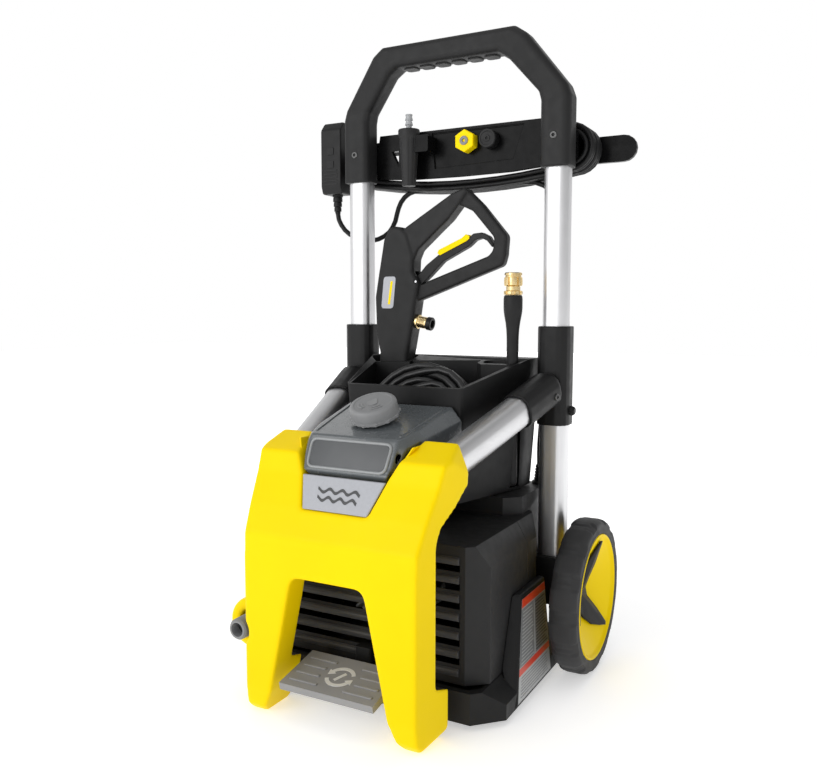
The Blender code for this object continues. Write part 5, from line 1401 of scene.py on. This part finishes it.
# ---------------------------------------------------------------------------- bin, gun, lance
@dataclass
class GunAndLance:
    """Storage bin with the trigger gun and the lance that stand in it."""

    shop: Workshop
    gun_y: float = 0.010
    badge_reach: float = 0.0162   # from the gun's middle plane to its badge
    back_edge: float = -0.088     # the gun's back is drawn in behind this
    back_low: float = 0.395
    back_high: float = 0.640
    back_draw: float = 0.0060
    inlet: tuple[float, float] = (-0.0548, 0.4710)
    inlet_way: tuple[float, float, float] = (0.988, 0.0, -0.157)
    thread_low: float = 0.0084
    thread_high: float = 0.0088
    lance: tuple[float, float] = (0.1045, -0.012)
    lance_low: float = 0.2461
    coupling_slots: int = 8

    def build(self) -> None:
        """Make the bin and what stands in it."""
        self.shop.crisp("storage_bin", BLACK, 0.0013)
        self.gun_body()
        self.latch_cheeks()
        self.badge()
        self.gun_screws()
        self.gun_inlet()
        self.lance_body()
        self.lance_coupling()

    def drawn_in(self, x: float, z: float) -> float:
        """Say how far a point of the gun's back is drawn in.

        Args:
            x: its place across.
            z: its height.

        Returns:
            The distance, which fades out towards the front, the foot and the head.
        """
        shares = ((self.back_edge - x) / 0.028, (z - self.back_low) / 0.03,
                  (self.back_high - z) / 0.04)
        return self.back_draw * math.prod(min(1.0, max(0.0, share)) for share in shares)

    def gun_body(self) -> None:
        """Make the gun's body with a slim back, its trigger and its latch."""
        gun = self.shop.moulded("gun_body", GRIP, 0.0011, 16)
        for vertex in gun.data.vertices:
            vertex.co.x += self.drawn_in(vertex.co.x, vertex.co.z)
        self.shop.moulded("gun_trigger", GRIP, 0.0006, 14)
        self.shop.crisp("trigger_latch", YELLOW, 0.0012)

    def latch_cheeks(self) -> None:
        """Make the latch's two cheeks, one on each side of the trigger."""
        cheek = [(-0.0185, 0.5690), (-0.0165, 0.5738), (0.0200, 0.5893), (0.0265, 0.5945),
                 (0.0318, 0.5915), (0.0318, 0.5878), (0.0262, 0.5842), (-0.0146, 0.5660)]
        cheeks = [slab([at(x, self.gun_y + side.value * 0.0063, z) for x, z in cheek],
                       (0, side.value * 0.0011, 0)) for side in Side]
        self.shop.piece("trigger_latch_cheeks", together(cheeks), YELLOW, "latch", bevel=0.0005)

    def badge(self) -> None:
        """Make the blank badge with its stripe."""
        face = self.gun_y - self.badge_reach
        plate = [(-0.0945 + a + b * 0.10, 0.5135 + b) for a, b in rounded(0.0205, 0.0470, 0.0045, 6)]
        self.shop.piece("gun_badge", slab([at(x, face, z) for x, z in plate], (0, 0.0012, 0)),
                        SILVER, "gun", bevel=0.0005)
        stripe = [(-0.0905, 0.5300), (-0.0870, 0.5298), (-0.0920, 0.4960), (-0.0955, 0.4962)]
        self.shop.piece("gun_badge_stripe",
                        slab([at(x, face - 0.0003, z) for x, z in stripe], (0, 0.0006, 0)),
                        YELLOW, "gun")

    def gun_screws(self) -> None:
        """Put the screws in the gun's rear half: two in its body, one in its guard."""
        places = ((-0.098, 0.0158, 0.578), (-0.086, 0.0158, 0.440), (0.058, 0.0083, 0.606))
        for index, (x, reach, z) in enumerate(places):
            self.shop.screw(f"gun_screw_{index}", at(x, self.gun_y + reach, z), (0, 1, 0), 0.0030,
                            "gun")

    def gun_inlet(self) -> None:
        """Make the threaded brass inlet with its black ring."""
        low, high = self.thread_low, self.thread_high
        profile = [(0.0, 0.0003), (0.0104, 0.0003), (0.0104, 0.0036), (0.0090, 0.0042)]
        for turn in range(5):
            place = 0.0066 + turn * 0.0024
            profile += [(low, place - (0.0006 if turn == 0 else 0.0012)), (high, place)]
        profile += [(low, 0.0178), (0.0, 0.0178)]
        spot = at(self.inlet[0], self.gun_y, self.inlet[1])
        self.shop.stand_in("gun_inlet_thread", "gun_inlet",
                           lathe(profile, spot, self.inlet_way, 72), BRASS)
        ring = [(0.0060, 0.0176), (0.0092, 0.0176), (0.0098, 0.0184), (0.0098, 0.0244),
                (0.0090, 0.0254), (0.0062, 0.0254), (0.0056, 0.0246), (0.0056, 0.0178)]
        self.shop.piece("gun_inlet_ring", lathe(ring, spot, self.inlet_way, 64, loop=True), SHEATH,
                        "gun")

    def lance_body(self) -> None:
        """Make the lance with its flared grip."""
        low = self.lance_low
        profile = [(0.0, low), (0.0060, low), (0.0076, low + 0.003), (0.0080, low + 0.006),
                   (0.0081, 0.440), (0.0083, 0.452), (0.0089, 0.462), (0.0100, 0.471),
                   (0.0115, 0.479), (0.0126, 0.486), (0.0129, 0.491), (0.0129, 0.503),
                   (0.0124, 0.5065), (0.0112, 0.508), (0.0, 0.508)]
        self.shop.stand_in("lance_body", "lance",
                           lathe(profile, at(*self.lance, 0), (0, 0, 1), 80), GRIP)

    def lance_coupling(self) -> None:
        """Make the slotted brass coupling on the lance."""
        def slots(index: int, share: float) -> float:
            """Cut slots into the coupling's two collars.

            Args:
                index: the profile's point.
                share: share of the turn.

            Returns:
                The change of radius.
            """
            wave = math.cos(share * 2 * math.pi * self.coupling_slots)
            if index in (3, 4) and wave < -0.25:
                return -0.0020
            if index in (9, 10, 11) and wave > 0.25:
                return -0.0024
            return 0.0

        brass = [(0.0058, 0.5083), (0.0122, 0.5083), (0.0122, 0.5088), (0.0130, 0.5096),
                 (0.0130, 0.5130), (0.0122, 0.5138), (0.0096, 0.5144), (0.0096, 0.5196),
                 (0.0112, 0.5204), (0.0124, 0.5216), (0.0126, 0.5270), (0.0122, 0.5318),
                 (0.0108, 0.5326), (0.0108, 0.5344), (0.0120, 0.5350), (0.0118, 0.5376),
                 (0.0108, 0.5385), (0.0066, 0.5385), (0.0058, 0.5360)]
        self.shop.stand_in("lance_coupling_brass", "lance_coupling",
                           lathe(brass, at(*self.lance, 0), (0, 0, 1), 160, loop=True, shape=slots),
                           BRASS)


# ---------------------------------------------------------------------------- wheels
@dataclass
class Wheel:
    """Tyre with a blocked tread, dished disc and three-armed hub cap."""

    shop: Workshop
    side: Side
    axle: tuple[float, float] = (0.001, 0.1036)
    inner: float = 0.190
    outer: float = 0.227
    rim_depth: float = 0.0045     # from the tyre's outer side to the disc's face at its rim
    dish_radius: float = 0.078
    dish_slope: float = 0.45
    blocks: int = 14

    def dish(self, radius: float) -> float:
        """How far out the disc's face stands at a radius."""
        return self.outer - self.rim_depth - (self.dish_radius - radius) * self.dish_slope

    def build(self) -> None:
        """Make the tyre, the disc and the hub cap."""
        centre = at(0, *self.axle)
        way = (self.side.value, 0, 0)
        i, o = self.inner, self.outer
        tyre = [(0.0840, i + 0.0022), (0.0900, i + 0.0010), (0.0950, i + 0.0001),
                (0.0985, i + 0.0008), (0.1008, i + 0.0026), (0.1026, i + 0.0058),
                (0.1034, i + 0.0100), (0.1034, o - 0.0100), (0.1026, o - 0.0058),
                (0.1008, o - 0.0026), (0.0985, o - 0.0008), (0.0950, o - 0.0001),
                (0.0905, o - 0.0012), (0.0880, o - 0.0002), (0.0855, o - 0.0004),
                (0.0840, o - 0.0014)]

        def tread(index: int, share: float) -> float:
            """Notch the shoulders between the blocks.

            Args:
                index: the profile's point.
                share: share of the turn.

            Returns:
                The change of radius.
            """
            inside = math.cos(share * 2 * math.pi * self.blocks)
            if index in (3, 4, 5, 8, 9, 10) and inside < -0.25:
                return -0.0026
            if index in (6, 7) and inside < -0.93:
                return -0.0012
            return 0.0

        word = self.side.word
        self.shop.stand_in(f"tyre_{word}_tread", f"tyre_{word}",
                           lathe(tyre, centre, way, 264, loop=True, shape=tread), TYRE, angle=50)
        dish = [(radius / 1000, self.dish(radius / 1000)) for radius in range(76, 18, -6)]
        disc = [(0.0061, i - 0.009), (0.0150, i - 0.009), (0.0160, i - 0.004),
                (0.0170, i - 0.001), (0.0740, i + 0.0205), (0.0790, i + 0.006),
                (0.0805, i + 0.004), (0.0836, i + 0.004), (0.0836, o - 0.0012),
                (0.0832, o - 0.0004), (0.0822, o - 0.0001), (0.0812, o - 0.0006),
                (0.0800, o - 0.0026), (0.0785, self.dish(0.0785) - 0.0002), *dish,
                (0.0168, self.dish(0.018) + 0.0006), (0.0160, self.dish(0.018) + 0.0030),
                (0.0061, self.dish(0.018) + 0.0030)]
        self.shop.stand_in(f"wheel_disc_{word}_dished", f"wheel_disc_{word}",
                           lathe(disc, centre, way, 120, loop=True), YELLOW)
        self.shop.moulded(f"hub_cap_{word}", GRIP, 0.0008, 5)


# ---------------------------------------------------------------------------- hose and cord
@dataclass
class PressureHose:
    """Pressure hose from the pump's outlet, coiled in the bin."""

    shop: Workshop
    radius: float = 0.0052
    layers: tuple[float, ...] = (0.0770, 0.0666, 0.0562, 0.0458)
    columns: int = 4
    lean: float = math.radians(22)
    centre: tuple[float, float, float] = (0.0, -0.0798, 0.3350)
    outlet: tuple[float, float] = (0.071, -0.052)
    outlet_low: float = 0.2453
    shift_start: float = 60.0     # degrees: where each turn steps to the next place
    shift_stop: float = 100.0
    tail_radius: float = 0.0440
    tail_step: float = 0.0022
    tail_sweep: float = 115.0

    def coil_point(self, radius: float, degrees: float, along: float) -> Vector:
        """Find a point of the coil.

        Args:
            radius: distance from the coil's axis.
            degrees: angle round it.
            along: place along the leaning axis.

        Returns:
            The point, in the frame's axes.
        """
        axis = Vector((0, -math.cos(self.lean), math.sin(self.lean)))
        upward = Vector((0, math.sin(self.lean), math.cos(self.lean)))
        angle = math.radians(degrees)
        return (at(*self.centre) + Vector((1, 0, 0)) * radius * math.cos(angle)
                + upward * radius * math.sin(angle) + axis * along)

    def seats(self) -> list[tuple[float, float]]:
        """List the turns in the order that they are wound.

        Returns:
            Radius and place along the axis of each turn.
        """
        pitch = 2 * self.radius
        places = [(column - (self.columns - 1) / 2) * pitch for column in range(self.columns)]
        order = []
        for index, layer in enumerate(self.layers):
            row = places if index % 2 == 0 else places[::-1]
            order += [(layer, place) for place in row]
        return order

    def route(self) -> list[Vector]:
        """Lay the hose from the outlet, round the coil and to its coupling.

        Returns:
            The points that it passes.
        """
        behind = -self.columns * self.radius - self.radius - 0.0006
        top = self.outlet_low + 0.0302
        lead = [at(*self.outlet, top), at(self.outlet[0] + 0.0004, self.outlet[1] - 0.0006,
                                           top + 0.0135),
                self.coil_point(self.layers[0], -8, behind - 0.003),
                self.coil_point(self.layers[0], 12, behind),
                self.coil_point(self.layers[0], 32, behind),
                self.coil_point(self.layers[0], 52, behind)]
        points = smooth_route(lead, 0.012)
        seats = [(self.layers[0], behind)] + self.seats()
        seats.append((self.tail_radius, behind - self.tail_step))
        for (radius, place), (next_radius, next_place) in zip(seats, seats[1:]):
            if (radius, place) != seats[0]:
                for step in range(1, 23):
                    degrees = self.shift_stop + (360 - self.shift_stop + self.shift_start) * step / 22
                    points.append(self.coil_point(radius, degrees, place))
            for step in range(1, 4):
                share = step / 3
                ease = share * share * (3 - 2 * share)
                degrees = self.shift_start + (self.shift_stop - self.shift_start) * share
                points.append(self.coil_point(radius + (next_radius - radius) * ease, degrees,
                                              place + (next_place - place) * ease))
        radius, place = seats[-1]
        for step in range(1, 11):
            share = step / 10
            degrees = self.shift_stop + self.tail_sweep * share
            points.append(self.coil_point(radius + 0.002 * share, degrees, place - 0.003 * share))
        return points

    def build(self) -> None:
        """Make the outlet, the hose and its coupling."""
        centre = at(*self.outlet, self.outlet_low)

        def hexagon(index: int, share: float) -> float:
            """Flatten the outlet's nut on six sides."""
            angle = (share * 6) % 1.0 - 0.5
            return 0.0112 / math.cos(angle * math.pi / 3) - 0.0112 if 1 <= index <= 3 else 0.0

        profile = [(0.0, 0.0), (0.0112, 0.0), (0.0112, 0.0090), (0.0108, 0.0098),
                   (0.0092, 0.0105), (0.0092, 0.0215), (0.0084, 0.0240), (0.0074, 0.0296),
                   (0.0, 0.0299)]
        self.shop.stand_in("outlet_fitting_nut", "outlet_fitting",
                           lathe(profile, centre, (0, 0, 1), 72, shape=hexagon), BRASS)
        route = self.route()
        heading = (route[-1] - route[-2]).normalized()
        body = [(0.0, 0.0), (0.0058, 0.0), (0.0062, 0.0010), (0.0075, 0.0100),
                (0.0098, 0.0120), (0.0100, 0.0135), (0.0100, 0.0300), (0.0088, 0.0350),
                (0.0050, 0.0350), (0.0046, 0.0330), (0.0, 0.0330)]

        def ribs(index: int, share: float) -> float:
            """Grip ribs round the coupling."""
            return 0.00035 * math.cos(share * 40 * math.pi) - 0.0002 if 5 <= index <= 6 else 0.0

        coupling = self.shop.stand_in("hose_coupling_body", "hose_coupling",
                                      lathe(body, route[-1], heading, 120, shape=ribs), HOUSING)
        hose = self.shop.tube("pressure_hose", route, self.radius, HOSE)
        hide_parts("hose_coil", "hose_tail")


@dataclass
class PowerCord:
    """Power cord from its gland, wound on the two hooks, to its safety plug."""

    shop: Workshop
    radius: float = 0.00372
    hook_x: float = 0.162
    hook_z: float = 0.710
    inner: float = 0.02222
    outer: float = 0.02972
    first_column: float = 0.04905
    column_pitch: float = 0.0075
    sag: float = 0.014
    feed_end: float = 0.080       # where the feed joins the first lower run
    lead_start: float = -0.055    # where the lead leaves the last one
    gland: tuple[float, float] = (0.122, 0.054)
    seat: float = 0.238
    plug: tuple[float, float, float] = (-0.2155, 0.044, 0.7230)
    plug_size: tuple[float, float, float] = (0.037, 0.040, 0.110)

    def column(self, index: int) -> float:
        """Depth of one column of the winding."""
        return self.first_column + index * self.column_pitch

    def run_height(self, x: float, radius: float) -> float:
        """Height of the sagging lower run."""
        return self.hook_z - radius - self.sag * (1 - (x / self.hook_x) ** 2)

    def winding(self) -> list[Vector]:
        """Wind the turns on the hooks, from the feed to the plug's lead.

        Returns:
            The points that they pass.
        """
        order = [(self.outer, 2), (self.outer, 3), (self.outer, 4), (self.outer, 5),
                 (self.inner, 5), (self.inner, 4), (self.inner, 3), (self.inner, 2),
                 (self.inner, 1), (self.inner, 0), (self.outer, 0), (self.outer, 1)]
        points = []
        for turn, (radius, index) in enumerate(order):
            y = self.column(index)
            last = turn == len(order) - 1
            start = self.feed_end if turn == 0 else self.hook_x
            stop = self.lead_start if last else -self.hook_x
            steps = 9
            for step in range(0 if turn == 0 else 1, steps + 1):
                x = start + (stop - start) * step / steps
                points.append(at(x, y, self.run_height(x, radius)))
            if last:
                break
            for a, b in arc((-self.hook_x, self.hook_z), radius, 270, 90, 12)[1:]:
                points.append(at(a, y, b))
            next_radius, next_index = order[turn + 1]
            for step in range(1, 9):
                share = step / 9
                ease = share * share * (3 - 2 * share)
                x = -self.hook_x + 2 * self.hook_x * share
                depth = y + (self.column(next_index) - y) * ease
                height = radius + (next_radius - radius) * ease
                points.append(at(x, depth, self.hook_z + height))
            y = self.column(next_index)
            for a, b in arc((self.hook_x, self.hook_z), next_radius, 90, -90, 12):
                points.append(at(a, y, b))
        return points

    def route(self) -> list[Vector]:
        """Lay the whole cord, from the gland to the plug's relief.

        Returns:
            The points that it passes.
        """
        wound = self.winding()
        feed = [at(*self.gland, self.seat + 0.0284), at(*self.gland, 0.300),
                at(0.126, 0.056, 0.360), at(0.134, 0.058, 0.430), at(0.140, 0.060, 0.500),
                at(0.1425, 0.062, 0.570), at(0.1425, 0.0625, 0.610), at(0.1400, 0.0630, 0.632),
                at(0.1320, 0.0636, 0.6510), at(0.1180, 0.0640, 0.6640), at(0.1000, 0.0640, 0.6695),
                wound[0]]
        low = self.plug[2] - self.plug_size[2] / 2 - 0.028
        lead = [wound[-1], at(-0.0750, 0.0580, 0.6680), at(-0.0930, 0.0600, 0.6660),
                at(-0.1080, 0.0622, 0.6570), at(-0.1175, 0.0640, 0.6420),
                at(-0.1230, 0.0645, 0.6240), at(-0.1350, 0.0640, 0.6070),
                at(-0.1560, 0.0600, 0.5970), at(-0.1790, 0.0540, 0.5985),
                at(-0.1990, 0.0470, 0.6090), at(-0.2120, 0.0442, 0.6260),
                at(self.plug[0], self.plug[1], low + 0.0002)]
        return smooth_route(feed, 0.014)[:-1] + wound + smooth_route(lead, 0.010)[1:]

    def build(self) -> None:
        """Make the gland, the plug and the cord between them."""
        seat = self.seat + 0.0003
        profile = [(0.0, seat), (0.0104, seat), (0.0105, seat + 0.0030), (0.0098, seat + 0.0042)]
        for ring in range(5):
            height = seat + 0.0052 + ring * 0.0044
            radius = 0.0076 - ring * 0.0005
            profile += [(radius - 0.0009, height), (radius, height + 0.0009),
                        (radius, height + 0.0030), (radius - 0.0009, height + 0.0038)]
        profile += [(0.0046, seat + 0.0277), (0.0, seat + 0.0277)]
        self.shop.stand_in("cord_gland_relief", "cord_gland",
                           lathe(profile, at(*self.gland, 0), (0, 0, 1), 48), SHEATH)
        plug = self.shop.crisp("safety_plug", BLACK, 0.0008, 2, 40.0)
        details = self.plug_details()
        route = self.route()
        cord = self.shop.tube("power_cord", route, self.radius, SHEATH)
        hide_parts("cord_winding", "cord_feed", "plug_lead")

    def plug_details(self) -> bpy.types.Object:
        """Make two blank buttons and the grip ribs on the plug.

        Returns:
            The new object.
        """
        x, y, z = self.plug
        width, depth, height = self.plug_size
        front = y - depth / 2
        parts = []
        for offset in (0.010, -0.010):
            outline = [at(x + a, front - 0.0010, z + offset + b)
                       for a, b in rounded(0.012, 0.011, 0.002, 4)]
            parts.append(slab(outline, (0, 0.0016, 0)))
        for index in range(5):
            low = z - height / 2 + 0.014 + index * 0.0052
            corners = ((-0.0120, low), (0.0120, low), (0.0120, low + 0.0022), (-0.0120, low + 0.0022))
            outline = [at(x + a, front - 0.0006, b) for a, b in corners]
            parts.append(slab(outline, (0, 0.0012, 0)))
        return self.shop.piece("safety_plug_details", together(parts), GRIP, bevel=0.0003,
                               segments=2)


# ---------------------------------------------------------------------------- studio
@dataclass
class Studio:
    """Pale floor, soft light and the camera."""

    camera_place: tuple[float, float, float] = (0.52789, -0.97777, 0.49014)
    camera_dip: float = 5.327
    camera_turn: float = 28.607
    lens: float = 36.91
    floor_reach: float = 8.0
    floor_glow: tuple[float, float] = (0.46, 1.0)        # near the machine and far from it
    glow_range: tuple[float, float] = (0.45, 1.6)
    aim: tuple[float, float, float] = (0.0, 0.0, 0.4)
    lamp_shine: float = 0.35

    def build(self) -> None:
        """Set up the whole studio."""
        self.floor()
        self.sky()
        self.lamp("key_lamp", (-1.1, -2.6, 1.4), 1.6, 22.0)
        self.lamp("top_lamp", (0.1, -0.2, 2.6), 1.8, 7.0)
        self.camera()
        bpy.context.scene.view_settings.view_transform = "Standard"

    def floor(self) -> None:
        """Lay a wide white floor."""
        reach = self.floor_reach
        mesh = bmesh.new()
        mesh.faces.new([mesh.verts.new((x * reach, y * reach, 0.0))
                        for x, y in ((-1, -1), (1, -1), (1, 1), (-1, 1))])
        data = bpy.data.meshes.new("studio_floor")
        mesh.to_mesh(data)
        mesh.free()
        data.materials.append(self.paper())
        obj = bpy.data.objects.new("studio_floor", data)
        bpy.context.scene.collection.objects.link(obj)

    def paper(self) -> bpy.types.Material:
        """Make matte white paper that grows brighter away from the machine, as a lit sweep does.

        Returns:
            The floor's material.
        """
        graph = Graph("floor_paper")
        mottle = graph.spread(graph.noise(0.3, 2.0), 0.0, 1.0)
        graph.wire(graph.blend(mottle, (0.88, 0.88, 0.88), (0.90, 0.90, 0.90)), "Base Color")
        graph.fix(Roughness=0.8, Specular_IOR_Level=0.0)
        graph.shader.inputs["Emission Color"].default_value = (1.0, 1.0, 1.0, 1.0)
        reach = graph.tree.nodes.new("ShaderNodeVectorMath")
        reach.operation = "LENGTH"
        graph.tree.links.new(graph.place, reach.inputs[0])
        glow = graph.spread(reach.outputs["Value"], *self.floor_glow, *self.glow_range)
        graph.wire(glow, "Emission Strength")
        return graph.material

    def sky(self) -> None:
        """Make white surroundings, darker at the right and overhead."""
        world = bpy.data.worlds.new("white_room")
        world.use_nodes = True
        tree = world.node_tree
        place = tree.nodes.new("ShaderNodeTexCoord")
        split = tree.nodes.new("ShaderNodeSeparateXYZ")
        tree.links.new(place.outputs["Generated"], split.inputs["Vector"])
        both = tree.nodes.new("ShaderNodeMath")
        both.operation = "MULTIPLY"
        falloffs = (("X", 0.05, 0.75, 0.56), ("Z", 0.40, 0.95, 0.45))
        for factor, (axis, start, stop, dimmest) in zip(both.inputs, falloffs):
            fade = tree.nodes.new("ShaderNodeMapRange")
            fade.interpolation_type = "SMOOTHSTEP"
            fade.inputs["From Min"].default_value = start
            fade.inputs["From Max"].default_value = stop
            fade.inputs["To Min"].default_value = 1.0
            fade.inputs["To Max"].default_value = dimmest
            tree.links.new(split.outputs[axis], fade.inputs["Value"])
            tree.links.new(fade.outputs["Result"], factor)
        background = tree.nodes["Background"]
        background.inputs["Color"].default_value = (1.0, 1.0, 1.0, 1.0)
        tree.links.new(both.outputs["Value"], background.inputs["Strength"])
        bpy.context.scene.world = world

    def lamp(self, name: str, place: tuple[float, float, float], size: float,
             power: float) -> None:
        """Put up one square soft lamp, aimed at the machine's middle.

        Args:
            name: the lamp's name.
            place: where it hangs.
            size: length of its side.
            power: its strength in watts.
        """
        data = bpy.data.lights.new(name, "AREA")
        data.size = size
        data.energy = power
        data.specular_factor = self.lamp_shine
        obj = bpy.data.objects.new(name, data)
        obj.location = place
        way = Vector(self.aim) - Vector(place)
        obj.rotation_euler = way.to_track_quat("-Z", "Y").to_euler()
        bpy.context.scene.collection.objects.link(obj)

    def camera(self) -> None:
        """Place the camera, low and to the right of the front."""
        data = bpy.data.cameras.new("front_right_camera")
        data.lens = self.lens
        obj = bpy.data.objects.new("front_right_camera", data)
        obj.location = self.camera_place
        obj.rotation_euler = (math.radians(90 - self.camera_dip), 0.0,
                              math.radians(self.camera_turn))
        bpy.context.scene.collection.objects.link(obj)
        bpy.context.scene.camera = obj


def main() -> None:
    """Load the frame, set up the studio and build every sub-assembly in order."""
    logging.basicConfig(level=logging.INFO, format="%(message)s")
    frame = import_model()
    shop = Workshop(frame)
    Studio().build()
    stages = (PowerCord(shop), PressureHose(shop), Trolley(shop), CordRack(shop),
              FrontCover(shop), DetergentTank(shop), Housing(shop), Pedal(shop),
              GunAndLance(shop), Wheel(shop, Side.LEFT), Wheel(shop, Side.RIGHT))
    for stage in stages:
        stage.build()
        LOG.info("%s is done", type(stage).__name__)


if __name__ == "__main__":
    main()
